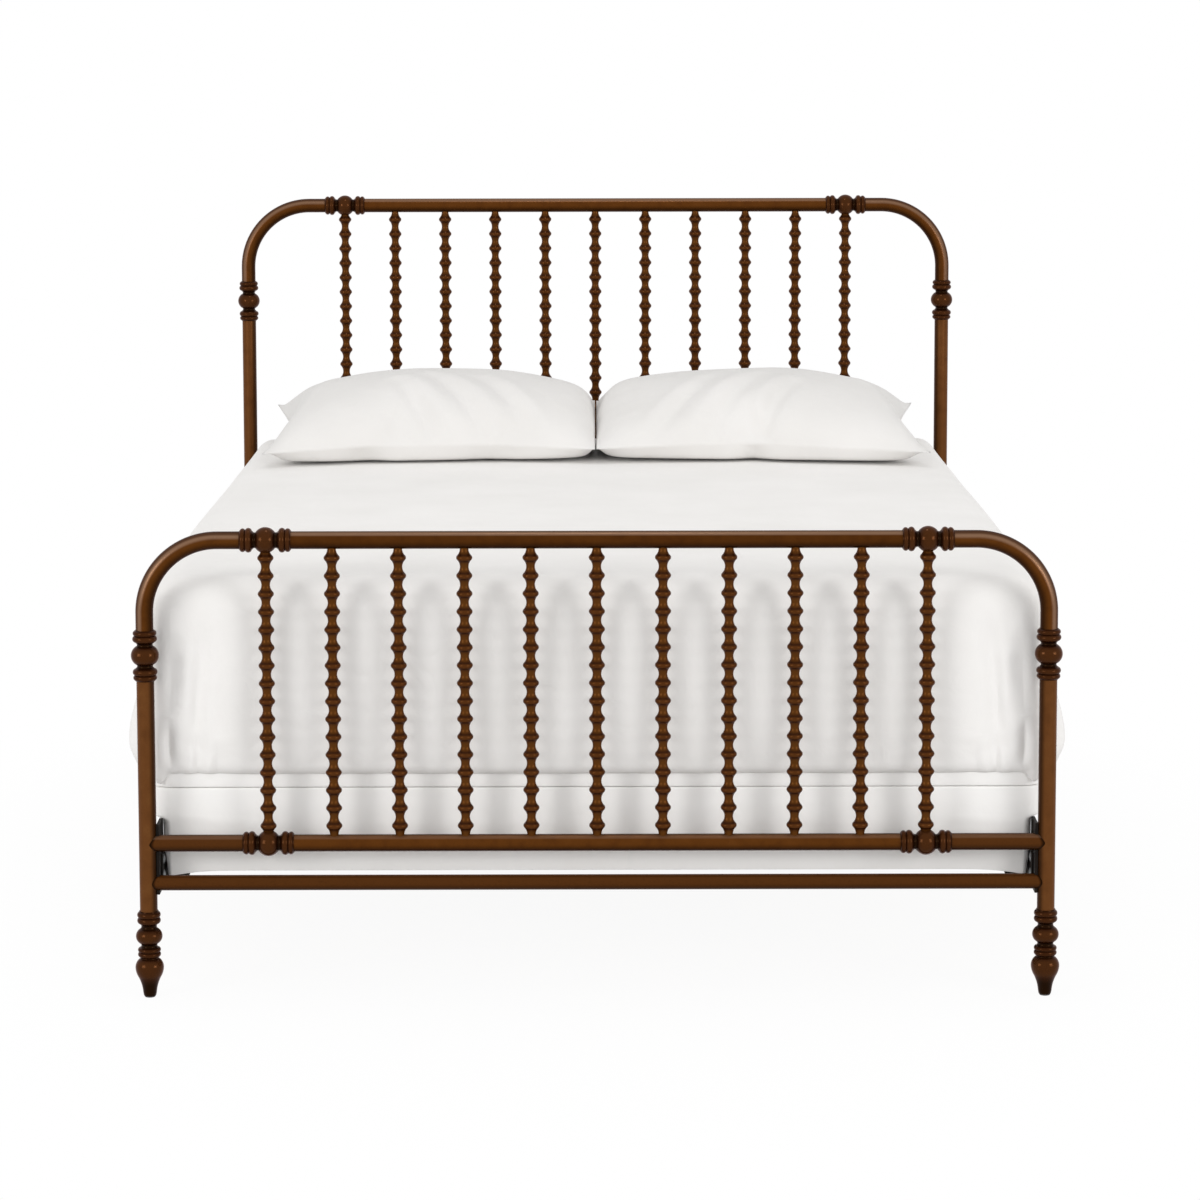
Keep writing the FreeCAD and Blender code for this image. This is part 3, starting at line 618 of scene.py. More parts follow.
def make_piece(name: str, bm: bmesh.types.BMesh, finishes: Sequence[Finish]) -> bpy.types.Object:
    """Make an object from a bmesh, smooth, at the origin.

    Args:
        name: The piece's name.
        bm: The mesh, which is freed.
        finishes: The finishes of its material slots, in order.

    Returns:
        The new object.
    """
    mesh = bpy.data.meshes.new(name)
    bm.to_mesh(mesh)
    bm.free()
    mesh.shade_smooth()
    for finish in finishes:
        mesh.materials.append(finish.material())
    return put(name, mesh)


def settle(piece: bpy.types.Object, body: str, nodes: Sequence[str] = ()) -> None:
    """Tie a piece to its body and the solids that it stands for.

    Args:
        piece: The piece.
        body: The body that it moves with.
        nodes: The solids that it replaces.
    """
    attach(piece, body)
    if nodes:
        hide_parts(*nodes)
    LOG.info("%s: %d faces, rides on %s", piece.name, len(piece.data.polygons), body)


def smooth_out(piece: bpy.types.Object) -> None:
    """Divide the faces of a piece once with a subdivision surface."""
    surface = piece.modifiers.new("Smooth", "SUBSURF")
    surface.levels = surface.render_levels = 1


def only(kind: type, geometry: Iterable[object]) -> list:
    """Return the items of one kind, such as the vertices, of a mesh operator's geometry."""
    return [item for item in geometry if isinstance(item, kind)]


def box_between(low: Vector, high: Vector) -> bmesh.types.BMesh:
    """Make a plain box.

    Args:
        low: Its lowest corner.
        high: Its highest corner.

    Returns:
        The box's mesh.
    """
    bm = bmesh.new()
    bmesh.ops.create_cube(bm, size=1.0)
    bmesh.ops.scale(bm, vec=high - low, verts=bm.verts[:])
    bmesh.ops.translate(bm, vec=(low + high) / 2, verts=bm.verts[:])
    return bm


def cut_across(bm: bmesh.types.BMesh, axis: int, places: Iterable[float]) -> None:
    """Cut a mesh with planes square to one axis.

    Args:
        bm: The mesh.
        axis: 0, 1 or 2 for X, Y or Z.
        places: Where the planes stand, in metres.
    """
    normal = Vector((axis == 0, axis == 1, axis == 2))
    for place in places:
        geometry = [*bm.verts, *bm.edges, *bm.faces]
        bmesh.ops.bisect_plane(bm, geom=geometry, dist=1e-6, plane_co=normal * place, plane_no=normal)


def steps(low: float, high: float, size: float) -> list[float]:
    """Return evenly spaced places between two limits, without the limits.

    Args:
        low: The lower limit.
        high: The upper limit.
        size: The spacing, as near as it divides the distance.

    Returns:
        The places in between.
    """
    count = max(round((high - low) / size), 1)
    return [low + (high - low) * index / count for index in range(1, count)]


@dataclass(frozen=True)
class Crease:
    """A crease in cloth: a groove along a line on a face, with a soft ridge beside it."""

    start: tuple[float, float]
    end: tuple[float, float]
    depth: float
    width: float

    def push(self, across: float, height: float) -> float:
        """Work out how far the crease pushes a point inwards.

        Args:
            across: The point's place along the face.
            height: Its height on an upright face, or its place towards the head on a level one.

        Returns:
            The push in metres, which is below zero on the ridge.
        """
        first, last, point = Vector(self.start), Vector(self.end), Vector((across, height))
        run = last - first
        share = clamp((point - first).dot(run) / run.length_squared, 0.0, 1.0)
        offset = point - first.lerp(last, share)
        side = run.x * offset.y - run.y * offset.x
        gap = math.copysign(offset.length, side) / self.width
        ends = math.sin(math.pi * clamp(share, 0.04, 0.96)) ** 0.5
        return self.depth * ends * (math.exp(-gap * gap) - 0.6 * math.exp(-((gap - 1.7) ** 2)))


class BedFrame:
    """The metal boards, side rails, slats and middle support, whose solids stay and get their finishes."""

    def __init__(self) -> None:
        """Choose the finishes of each board and of the pieces between the boards."""
        between = self.plain_finishes()
        self.rules = {board: {**self.board_finishes(board), **between} for board in Board}

    @staticmethod
    def plain_finishes() -> dict[str, Finish]:
        """Make the finishes of the brackets, side rails, slats, fasteners and support.

        Returns:
            Each finish by a part of the solids' names. The first part that fits counts.
        """
        steel, zinc = PowderCoat("dark_powder_coat"), ZincPlate("zinc_plate")
        return {
            **dict.fromkeys(("bracket", "side_rail", "ledge", "support"), steel),
            **dict.fromkeys(("bolts", "nuts"), zinc),
            "slat": PlanedPine("planed_pine"),
            "glides": MouldedPlastic("moulded_nylon", colour="#2a2420", scuffed="#4a443e"),
        }

    @staticmethod
    def board_finishes(board: Board) -> dict[str, Finish]:
        """Make the bronze finishes of one board.

        Args:
            board: The board.

        Returns:
            Each finish by a part of the solids' names. The first part that fits counts.
        """
        at_foot = board is Board.FOOT
        name = "aged_bronze_" + board.name.lower()
        line = {"height": TOP_RAIL_Z[board], "bend": BEND_RADIUS[board]}
        # The tubes, from the footboard's dark top rail to the light posts, are shaded and lit copies of one
        # lacquer: painted shade on the rail and painted light on the posts, for how the light falls on each
        warm = {"groove": "#40200a", "body": "#56300f", "crest": "#603816", "gloss": 0.10}
        dark = {"groove": "#361a07", "body": "#4a280b", "crest": "#553110", "gloss": 0.10}
        upright = {"groove": "#4b2b13", "body": "#613b1d", "crest": "#6e4826"}
        # Each run paints a highlight line and shade along its tube
        rail = Run(pale=0.58 if at_foot else 0.55, **line)
        bend = Run(pale=0.65 if at_foot else 0.60, highlight_from=(0.10, 0.50), edge_shade=0.85, rim=0.7, **line)
        post = Run(rim=0.5, dark=0.75, shade_to=-0.3, **line)
        lower = Run(LOWER_RAIL_Z, pale=0.25)
        # The rail is painted nearly black within a few millimetres of the post, where it meets the post
        joined = {
            "groove": "#120601", "body": "#46250b", "crest": "#4d2b10", "body_from": 0.7,
            "turning": Turning(TurnAxis.UPRIGHT_POST, groove_radius=0.0158, crest_radius=0.0208),
        }
        # The castings and spindles are polished
        polish = {"rough": (0.20, 0.12)}
        ring = {"axis": TurnAxis.ALONG_RAIL, "groove_radius": 0.0138, "crest_radius": 0.0222}
        casting = AgedBronze(
            "aged_bronze_post_casting", **polish,
            turning=Turning(TurnAxis.UPRIGHT_POST, groove_radius=0.0138, crest_radius=0.0236),
        )
        # The hollows between the beads are painted bright as a painted reflection, the slopes of each bead
        # dark as painted shade, and the rim of each bead a little lighter as a painted highlight
        bead_light_and_shade = {"groove": "#54300f", "body": "#331808", "crest": "#4e2b10", "crest_from": 0.8}
        bead = Turning(
            TurnAxis.UPRIGHT_ROW, groove_radius=0.0074, crest_radius=0.0142, pitch=SPINDLE_PITCH[board]
        )
        return {
            "top_joint": AgedBronze(
                name + "_joint", turning=Turning(height=TOP_RAIL_Z[board], **ring), **polish
            ),
            "lower_joint": AgedBronze(
                "aged_bronze_lower_joint", turning=Turning(height=LOWER_RAIL_Z, **ring), **polish
            ),
            "spindles": AgedBronze(name + "_spindle", turning=bead, **bead_light_and_shade, **polish),
            "collar": casting,
            "support_foot": MouldedPlastic("moulded_polypropylene"),
            "_foot": casting,
            "_post": AgedBronze(name + "_post", run=post, **upright),
            "lower_stub": AgedBronze("aged_bronze_rail_stub", run=lower, **joined),
            "bottom_rail": AgedBronze("aged_bronze_bottom_rail", run=Run(BOTTOM_RAIL_Z), **joined),
            "lower_rail": AgedBronze("aged_bronze_lower_rail", run=lower, **warm),
            "top_rail": AgedBronze(name + "_rail", run=rail, **(dark if at_foot else warm)),
            "bend": AgedBronze(name + "_bend", run=bend, **warm),
        }

    def finish_of(self, node: str) -> Finish | None:
        """Choose the finish of a solid by its name.

        Args:
            node: The solid's name.

        Returns:
            Its finish, or None for bedding.
        """
        board = Board.HEAD if node.startswith(Board.HEAD.value) else Board.FOOT
        return next((finish for part, finish in self.rules[board].items() if part in node), None)

    def dress(self) -> None:
        """Give every rigid solid its finish."""
        for name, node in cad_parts.items():
            finish = self.finish_of(name)
            if finish is None:
                continue
            for slot in node.material_slots:
                slot.material = finish.material()
            LOG.info("%s: %s", name, finish.name)


@dataclass
class ScrewSet:
    """Pan-head screws that hold the slats to the rails' ledges and the middle support to its slat."""

    head_radius: float = 0.0045
    head_height: float = 0.0026
    # The outline of a head, as shares of its radius and height
    head_shares: tuple[tuple[float, float], ...] = (
        (1.0, -0.1), (1.0, 0.35), (0.86, 0.72), (0.55, 0.95), (0.0, 1.0),
    )
    head_sides: int = 14
    ledge_inset: float = 0.014
    plate_inset: float = 0.012
    slats: int = 5

    def build(self) -> bpy.types.Object:
        """Spin one screw head and repeat it under every slat end and the support plate.

        Returns:
            The finished piece.
        """
        bm = bmesh.new()
        profile = [
            bm.verts.new((x * self.head_radius, 0.0, -z * self.head_height)) for x, z in self.head_shares
        ]
        edges = [bm.edges.new(pair) for pair in zip(profile, profile[1:])]
        bmesh.ops.spin(
            bm, geom=[*profile, *edges], cent=(0, 0, 0), axis=(0, 0, 1), angle=math.tau,
            steps=self.head_sides, use_merge=True,
        )
        bmesh.ops.remove_doubles(bm, verts=bm.verts[:], dist=1e-6)
        bmesh.ops.holes_fill(bm, edges=[edge for edge in bm.edges if edge.is_boundary])
        bmesh.ops.recalc_face_normals(bm, faces=bm.faces[:])
        head = [*bm.verts, *bm.edges, *bm.faces]
        for place in self.places():
            copy = bmesh.ops.duplicate(bm, geom=head)["geom"]
            bmesh.ops.translate(bm, verts=only(bmesh.types.BMVert, copy), vec=place)
        bmesh.ops.delete(bm, geom=head, context="VERTS")
        piece = make_piece("slat_screws", bm, [ZincPlate("zinc_plate")])
        settle(piece, "frame")
        return piece

    def places(self) -> list[Vector]:
        """Find where the screw heads sit, under the ledges and the plate.

        Returns:
            The middle of each head's upper face.
        """
        found = []
        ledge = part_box("right_rail_ledge")[0]
        for index in range(1, self.slats + 1):
            low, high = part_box(f"slat_{index}")
            for side in Side:
                x = side.value * (high[0] - self.ledge_inset)
                found.append(Vector((x, (low[1] + high[1]) / 2, ledge[2])))
        low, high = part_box("support_plate")
        for x in (low[0] + self.plate_inset, high[0] - self.plate_inset):
            for y in (low[1] + self.plate_inset, high[1] - self.plate_inset):
                found.append(Vector((x, y, low[2])))
        return found


@dataclass
class UpholsteredBlock:
    """A box spring or a mattress: a covered block, with a tape and a plain band on the mattress."""

    node: str
    slot: str
    cover: Finish
    tape: Finish | None = None
    corner_radius: float = 0.009
    corner_faces: int = 9
    edge_radius: float = 0.0008
    edge_faces: int = 3
    rim: float = 0.005
    tape_radius: float = 0.006
    cell: float = 0.045
    swell: float = 0.003
    ripple: float = 0.0022
    most_swell: float = 0.008
    over_rails: float = 0.0
    over_share: float = 0.85
    rail_top: float = 0.254
    rail_rise: float = 0.010
    rail_height: float = 0.294
    rail_clear: float = 0.024
    bracket_top: float = 0.312
    bracket_end: float = 1.003
    bracket_gap: float = 0.007
    corner_sag: float = 0.0
    sag_across: tuple[float, float] = (0.700, 0.728)
    sag_back: tuple[float, float] = (0.015, 0.040)
    sag_height: float = 0.040
    band: tuple[float, float] = (0.0, 0.0)
    band_top: float = 0.410
    band_step: float = 0.003
    seam_depth: float = 0.0022
    seam_width: float = 0.006
    seams: tuple[float, ...] = ()
    creases: tuple[Crease, ...] = ()

    def build(self) -> bpy.types.Object:
        """Build the block with its tape.

        Returns:
            The finished piece.
        """
        low, high = (Vector(corner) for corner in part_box(self.node))
        if self.tape:
            inset = Vector((self.tape_radius, self.tape_radius, 0.0))
            low, high = low + inset, high - inset
        bm = box_between(low, high)
        upright = [e for e in bm.edges if abs(e.verts[0].co.z - e.verts[1].co.z) > self.edge_radius]
        self.round_edges(bm, upright, self.corner_radius, self.corner_faces)
        rims = [e for e in bm.edges if any(abs(f.normal.z) > 0.9 for f in e.link_faces)]
        rims = [e for e in rims if any(abs(f.normal.z) < 0.1 for f in e.link_faces)]
        self.round_edges(bm, rims, self.edge_radius, self.edge_faces)
        cut_across(bm, 2, (low.z + self.rim, high.z - self.rim))
        for axis, edge in enumerate((self.corner_radius, self.corner_radius, self.edge_radius)):
            cut_across(bm, axis, steps(low[axis] + edge, high[axis] - edge, self.cell))
        if self.tape:
            cut_across(bm, 2, [self.band_top + self.band_step * index for index in range(3)])
            for face in bm.faces:
                face.material_index = int(face.calc_center_median().z < self.band_top + self.band_step)
        if self.over_rails:
            cut_across(bm, 2, [self.rail_height + self.rail_clear * quarter / 4 for quarter in range(5)])
        for seam in self.seams:
            cut_across(bm, 0, (seam - self.seam_width, seam, seam + self.seam_width))
        self.sculpt(bm, low, high)
        finishes = [self.cover]
        if self.tape:
            self.add_tape(bm, low, high, high.z - self.edge_radius)
            finishes.append(self.tape)
        piece = make_piece(self.node + "_upholstered", bm, finishes)
        smooth_out(piece)
        settle(piece, self.node, [self.node])
        return piece

    @staticmethod
    def round_edges(
        bm: bmesh.types.BMesh, edges: list[bmesh.types.BMEdge], radius: float, faces: int
    ) -> None:
        """Round a set of edges.

        Args:
            bm: The mesh.
            edges: The edges to round.
            radius: The radius in metres.
            faces: How many faces each round gets.
        """
        bmesh.ops.bevel(
            bm, geom=edges, offset=radius, offset_type="OFFSET", affect="EDGES", segments=faces,
            profile=0.5, material=-1,
        )

    def sculpt(self, bm: bmesh.types.BMesh, low: Vector, high: Vector) -> None:
        """Swell the sides and lay ripples, seams and creases in the cover.

        Args:
            bm: The mesh.
            low: The block's lowest corner.
            high: Its highest corner.
        """
        bm.normal_update()
        for vert in bm.verts:
            place, out = vert.co.copy(), vert.normal.copy()
            # The cover sags a little under its two foot corners
            sag = ease(*self.sag_across, abs(place.x))
            sag *= 1 - ease(low.y + self.sag_back[0], low.y + self.sag_back[1], place.y)
            vert.co.z -= self.corner_sag * sag * (1 - ease(low.z, low.z + self.sag_height, place.z))
            if abs(out.z) > 0.9:
                continue
            share = clamp((place.z - low.z) / (high.z - low.z), 0.0, 1.0)
            belly = math.sin(math.pi * share)
            run = place.x if abs(out.y) > abs(out.x) else place.y
            wave = noise.noise(Vector((run * 5.5, place.z * 14 + run * 2.0, 3.7 * len(self.node))))
            wave += 0.6 * noise.noise(Vector((run * 13, place.z * 24 - run * 5.0, 9.1)))
            push = self.swell * belly + self.ripple * belly * wave
            if out.y < -0.7:
                push -= sum(crease.push(place.x, place.z) for crease in self.creases) * belly
                if any(abs(place.x - seam) < 1e-4 for seam in self.seams):
                    push -= self.seam_depth
            vert.co += Vector((out.x, out.y, 0.0)) * min(push, self.most_swell)
            # The plain band under the mattress stands out as far as the cover below it
            edge = 1 - ease(self.band_top, self.band_top + 2 * self.band_step, place.z)
            vert.co += Vector((out.x * self.band[0], out.y * self.band[1], 0.0)) * edge
            # Behind and above the brackets the cover bulges out over the side rails
            over = self.over_share * ease(self.rail_height, self.rail_height + self.rail_clear, place.z)
            if place.z < self.bracket_top:
                over *= 1 - ease(self.bracket_end - self.bracket_gap, self.bracket_end, abs(place.y))
            over += (1 - self.over_share) * ease(self.rail_top, self.rail_top + self.rail_rise, place.z)
            vert.co.x += out.x * self.over_rails * over

    def add_tape(self, bm: bmesh.types.BMesh, low: Vector, high: Vector, height: float) -> None:
        """Sweep a round tape along the block's outline.

        Args:
            bm: The mesh that takes the tape.
            low: The block's lowest corner.
            high: Its highest corner.
            height: The height of the tape's middle.
        """
        old = set(bm.faces)
        radius = self.corner_radius
        start = Vector((high.x - radius, low.y, height))
        turn = Matrix.Translation(start) @ Matrix.Rotation(math.pi / 2, 4, "Y")
        ring = bmesh.ops.create_circle(bm, segments=8, radius=self.tape_radius, matrix=turn)["verts"]
        edges = list({edge for vert in ring for edge in vert.link_edges})
        corners = (
            (high.x - radius, low.y + radius), (high.x - radius, high.y - radius),
            (low.x + radius, high.y - radius), (low.x + radius, low.y + radius),
        )
        width, length = high.x - low.x - 2 * radius, high.y - low.y - 2 * radius
        for (x, y), run in zip(corners, ((0, length, 0), (-width, 0, 0), (0, -length, 0), (width, 0, 0))):
            spun = bmesh.ops.spin(
                bm, geom=edges, cent=(x, y, height), axis=(0, 0, 1), angle=math.pi / 2, steps=6
            )["geom_last"]
            pulled = bmesh.ops.extrude_edge_only(bm, edges=only(bmesh.types.BMEdge, spun))["geom"]
            verts = set(only(bmesh.types.BMVert, pulled))
            bmesh.ops.translate(bm, verts=list(verts), vec=run)
            edges = list({e for v in verts for e in v.link_edges if verts.issuperset(e.verts)})
        new = [face for face in bm.faces if face not in old]
        bmesh.ops.remove_doubles(bm, verts=list({v for f in new for v in f.verts}), dist=1e-5)
        new = [face for face in bm.faces if face not in old]
        bmesh.ops.recalc_face_normals(bm, faces=new)
        for face in new:
            face.material_index = 1


@dataclass
class Duvet:
    """The duvet, drawn over the top, the foot and both sides of the mattress and tucked in under its foot."""

    node: str = "duvet"
    half_width: float = 0.778
    front: float = -1.031
    front_limit: float = -1.0388
    back: float = 0.986
    top: float = 0.7424
    hem: float = 0.3885
    rounding: Point = (0.052, 0.045, 0.070)
    flare: float = 0.026
    bulge: float = 0.058
    bulge_share: float = 0.85
    hem_stand: float = 0.034
    side_fold: float = 0.0052
    roll: float = 0.0035
    fine_roll: float = 0.0020
    foot_belly: float = 0.0045
    hem_tuck: float = 0.011
    top_wave: float = 0.0055
    ear_x: float = 0.775
    ear_back: float = 0.020
    ear_size: tuple[float, float] = (0.0075, 0.022)
    ear_drop: float = 0.038
    inner_half_width: float = 0.7715
    inner_front: float = -1.0172
    inner_top: float = 0.6995
    inner_corner: float = 0.034
    lining_gap: float = 0.004
    cell: float = 0.036
    corner_cell: float = 0.009
    corner_x: float = 0.66
    corner_top: float = 0.52
    # Creases of the foot end, given from the middle of the bed outwards and in height
    foot_creases: tuple[Crease, ...] = (
        Crease((0.690, 0.650), (0.708, 0.445), 0.0080, 0.0115),
        Crease((0.751, 0.480), (0.760, 0.360), 0.0140, 0.0080),
        Crease((0.727, 0.462), (0.734, 0.360), 0.0120, 0.0090),
        Crease((0.698, 0.450), (0.704, 0.360), 0.0090, 0.0100),
        Crease((0.668, 0.435), (0.670, 0.360), 0.0060, 0.0110),
        Crease((0.736, 0.640), (0.748, 0.500), 0.0070, 0.0140),
        Crease((0.745, 0.700), (0.690, 0.600), 0.0040, 0.0180),
    )

    def build(self) -> bpy.types.Object:
        """Build the duvet as a closed shell of cloth and lining.

        Returns:
            The finished piece.
        """
        low = Vector((-self.half_width, self.front, self.hem))
        high = Vector((self.half_width, self.back, self.top))
        bm = box_between(low, high)
        bm.normal_update()
        open_sides = [face for face in bm.faces if face.normal.z < -0.9 or face.normal.y > 0.9]
        bmesh.ops.delete(bm, geom=open_sides, context="FACES")
        for axis in range(3):
            cut_across(bm, axis, steps(low[axis], high[axis], self.cell))
        for side in Side:
            places = steps(self.corner_x, self.half_width, self.corner_cell)
            cut_across(bm, 0, [side.value * place for place in places])
        cut_across(bm, 2, steps(self.hem, self.corner_top, self.corner_cell))
        outer = bm.faces[:]
        lining = only(bmesh.types.BMFace, bmesh.ops.duplicate(bm, geom=outer)["geom"])
        for faces, form in ((outer, self.outside), (lining, self.inside)):
            for vert in {v for f in faces for v in f.verts}:
                vert.co = form(vert.co)
        bm.normal_update()
        bmesh.ops.reverse_faces(bm, faces=lining)
        bmesh.ops.bridge_loops(bm, edges=[edge for edge in bm.edges if edge.is_boundary])
        bmesh.ops.recalc_face_normals(bm, faces=bm.faces[:])
        piece = make_piece("duvet_cover", bm, [CottonCloth("washed_cotton_percale")])
        smooth_out(piece)
        settle(piece, self.node, [self.node])
        return piece

    def outside(self, point: Vector) -> Vector:
        """Lay a point of the plain box on the duvet's outer face.

        Args:
            point: A point of the box.

        Returns:
            Its place on the cloth.
        """
        radius = Vector(self.rounding)
        core = Vector((
            clamp(point.x, radius.x - self.half_width, self.half_width - radius.x),
            max(point.y, self.front + radius.y),
            min(point.z, self.top - radius.z),
        ))
        out = Vector(gap / size for gap, size in zip(point - core, radius))
        out = out.normalized() if out.length > 1e-9 else Vector((0, 0, 1))
        place = core + out * radius
        fall = clamp((self.top - place.z) / (self.top - self.hem), 0.0, 1.0)
        sign = math.copysign(1.0, point.x)
        # The sides swell out below the shoulder and draw in again at the hem
        swell = self.bulge * ease(0.30, self.bulge_share, fall)
        swell -= (self.bulge - self.hem_stand) * ease(self.bulge_share, 1.0, fall) ** 1.5
        reach = 0.70 + 0.30 * ease(self.front, self.front + 0.12, place.y)
        flare = self.flare * (1 - ease(-0.3, 0.95, place.y))
        folds = math.sin(place.y * 15.1 + 0.6) + 0.7 * math.sin(place.y * 26.3 + 2.1)
        folds += 1.2 * noise.noise(Vector((place.y * 6, place.z * 5, 4.0 + sign)))
        swell += self.side_fold * folds * ease(0.15, 0.85, fall)
        place.x += sign * abs(out.x) * math.hypot(swell * reach, flare)
        # The foot end is drawn tight, with shallow rolls and the creases of its tucked corners
        inward = self.roll * noise.noise(Vector((place.x * 4.5, place.z * 3.0, 11.0)))
        inward += self.fine_roll * noise.noise(Vector((place.x * 12, place.z * 5.0, 17.0)))
        inward -= self.foot_belly * math.sin(math.pi * fall) ** 0.7
        inward += sum(crease.push(abs(place.x), place.z) for crease in self.foot_creases)
        inward += self.hem_tuck * ease(0.965, 1.0, fall)
        place.y = max(place.y + max(-out.y, 0.0) * inward, self.front_limit)
        # The top lies in shallow waves, which are lower under the pillows
        waves = 0.5 + 0.5 * noise.noise(Vector((place.x * 3.4, place.y * 2.6, 23.0)))
        waves += 0.35 * (0.5 + 0.5 * noise.noise(Vector((place.x * 8.0, place.y * 7.0, 31.0))))
        place.z -= max(out.z, 0.0) * self.top_wave * waves * (1 - ease(0.35, 0.5, place.y) * 0.8)
        # A bunched ear of cloth hangs below the hem at each foot corner
        across, back = abs(place.x) - self.ear_x, place.y - self.front - self.ear_back
        away = math.hypot(across / self.ear_size[0], back / self.ear_size[1])
        place.z -= self.ear_drop * math.exp(-away * away) * ease(0.9, 1.0, fall)
        return place

    def inside(self, point: Vector) -> Vector:
        """Lay a point of the plain box on the duvet's lining, close over the mattress.

        Args:
            point: A point of the box.

        Returns:
            Its place on the lining.
        """
        radius = self.inner_corner
        x = clamp(point.x, -self.inner_half_width, self.inner_half_width)
        y = clamp(point.y, self.inner_front, self.back - self.lining_gap)
        core = Vector((
            clamp(x, radius - self.inner_half_width, self.inner_half_width - radius),
            max(y, self.inner_front + radius),
            0.0,
        ))
        out = Vector((x, y, 0.0)) - core
        if out.length > radius:
            out = out.normalized() * radius
        place = core + out
        on_top = point.z > self.top - 1e-4
        place.z = self.inner_top if on_top else min(point.z + self.lining_gap, self.inner_top)
        return place


@dataclass
class Pillow:
    """A pillow in a cotton case, filled by a cloth simulation and laid on the duvet."""

    side: Side
    cell: float = 0.0105
    sheet_lift: float = 0.004
    frames: int = 34
    pressure: float = 5.0
    front_seam: float = 0.030
    back_seam: float = 0.084
    end_slack: float = 0.055
    end_fill: float = 0.15
    seam_crease: float = 0.6
    relaxing: int = 18
    seam_relaxing: int = 40
    rows: int = 28
    straighten_inner: float = 1.0
    straighten_outer: float = 0.25
    straighten_depth: float = 0.5
    stretch: float = 1.03
    slant: float = 0.07
    inner_gap: float = 0.0015
    sole: float = 0.010
    lift: float = 0.0004
    fold_from: float = 0.05
    # Folds of the upper sheet, given from its middle towards the inner end and towards the back
    folds: tuple[Crease, ...] = (
        Crease((-0.07, -0.05), (0.06, -0.23), 0.0170, 0.015),
        Crease((0.00, -0.03), (0.15, -0.22), 0.0150, 0.014),
        Crease((0.09, -0.04), (0.23, -0.21), 0.0125, 0.013),
        Crease((-0.24, 0.06), (-0.31, -0.12), 0.0060, 0.016),
    )

    @property
    def node(self) -> str:
        """Return the name of the pillow's solid."""
        return "left_pillow" if self.side is Side.LEFT else "right_pillow"

    def build(self) -> bpy.types.Object:
        """Sew, fill and lay the pillow.

        Returns:
            The finished piece.
        """
        low, high = (Vector(corner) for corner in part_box(self.node))
        # The case is the duvet's cotton, painted a little greyer as painted shade, so that the pillows, which
        # face the lamps, don't render brighter than the duvet
        case = CottonCloth("washed_cotton_pillowcase", thread="#e6e4e2", shade="#dcdad7")
        piece = make_piece(self.node + "_case", self.sew(high - low), [case])
        self.weigh(piece)
        self.fill(piece)
        self.lay(piece, low, high)
        piece.vertex_groups.clear()
        smooth_out(piece)
        settle(piece, self.node, [self.node])
        return piece

    def sew(self, size: Vector) -> bmesh.types.BMesh:
        """Sew two flat sheets together round their edge.

        Args:
            size: The laid pillow's size.

        Returns:
            The flat case, centred on the origin.
        """
        bm = bmesh.new()
        columns, rows = round(size.x / self.cell), round(size.y / self.cell)
        bmesh.ops.create_grid(bm, x_segments=columns, y_segments=rows, size=0.5)
        bmesh.ops.scale(bm, vec=(size.x, size.y, 1.0), verts=bm.verts[:])
        upper = bm.faces[:]
        lower = only(bmesh.types.BMFace, bmesh.ops.duplicate(bm, geom=upper)["geom"])
        bmesh.ops.reverse_faces(bm, faces=lower)
        for faces, lift in ((upper, self.sheet_lift), (lower, -self.sheet_lift)):
            inner = {v for f in faces for v in f.verts if not v.is_boundary}
            for vert in inner:
                x, y = vert.co.x / size.x, vert.co.y / size.y
                ripple = noise.noise(Vector((x * 9, y * 7, 5.0 * self.side.value + lift * 300)))
                vert.co.z = lift * (1.0 + 0.5 * ripple)
        bmesh.ops.remove_doubles(bm, verts=[v for v in bm.verts if v.is_boundary], dist=1e-5)
        crease = bm.edges.layers.float.new("crease_edge")
        for line in bm.edges:
            if all(abs(v.co.z) < 1e-6 for v in line.verts):
                line[crease] = self.seam_crease
        return bm

    def weigh(self, piece: bpy.types.Object) -> None:
        """Weigh how full the case is, less at its two ends.

        Args:
            piece: The flat case.
        """
        group = piece.vertex_groups.new(name="fill")
        end = max(v.co.x for v in piece.data.vertices)
        for vert in piece.data.vertices:
            full = ease(0.0, self.end_slack, end - abs(vert.co.x))
            group.add([vert.index], self.end_fill + (1 - self.end_fill) * full, "REPLACE")

    def fill(self, piece: bpy.types.Object) -> None:
        """Blow the case up with the cloth solver and keep the result.

        Args:
            piece: The flat case.
        """
        cloth = piece.modifiers.new("Fill", "CLOTH")
        fabric = cloth.settings
        fabric.quality = 6
        fabric.mass = 0.25
        fabric.tension_stiffness = 14.0
        fabric.compression_stiffness = fabric.shear_stiffness = 3.0
        fabric.bending_stiffness = 1.0
        fabric.air_damping = 2.0
        fabric.use_pressure = True
        fabric.uniform_pressure_force = self.pressure
        fabric.vertex_group_pressure = "fill"
        fabric.effector_weights.gravity = 0.0
        cloth.collision_settings.use_collision = False
        cloth.point_cache.frame_end = self.frames
        scene = bpy.context.scene
        for step in range(1, self.frames + 1):
            scene.frame_set(step)
        filled = bpy.data.meshes.new_from_object(piece.evaluated_get(bpy.context.evaluated_depsgraph_get()))
        piece.modifiers.remove(cloth)
        flat = piece.data
        piece.data = filled
        bpy.data.meshes.remove(flat)
        filled.name = piece.name
        self.relax(filled)
        filled.shade_smooth()
        scene.frame_set(1)

    def relax(self, mesh: bpy.types.Mesh) -> None:
        """Smooth the small puckers of the filled case, first along its seam and then away from it.

        Args:
            mesh: The filled case.
        """
        bm = bmesh.new()
        bm.from_mesh(mesh)
        crease = bm.edges.layers.float["crease_edge"]
        beside = {v: [e.other_vert(v) for e in v.link_edges if e[crease] > 0] for v in bm.verts}
        loose = [vert for vert, pair in beside.items() if not pair]
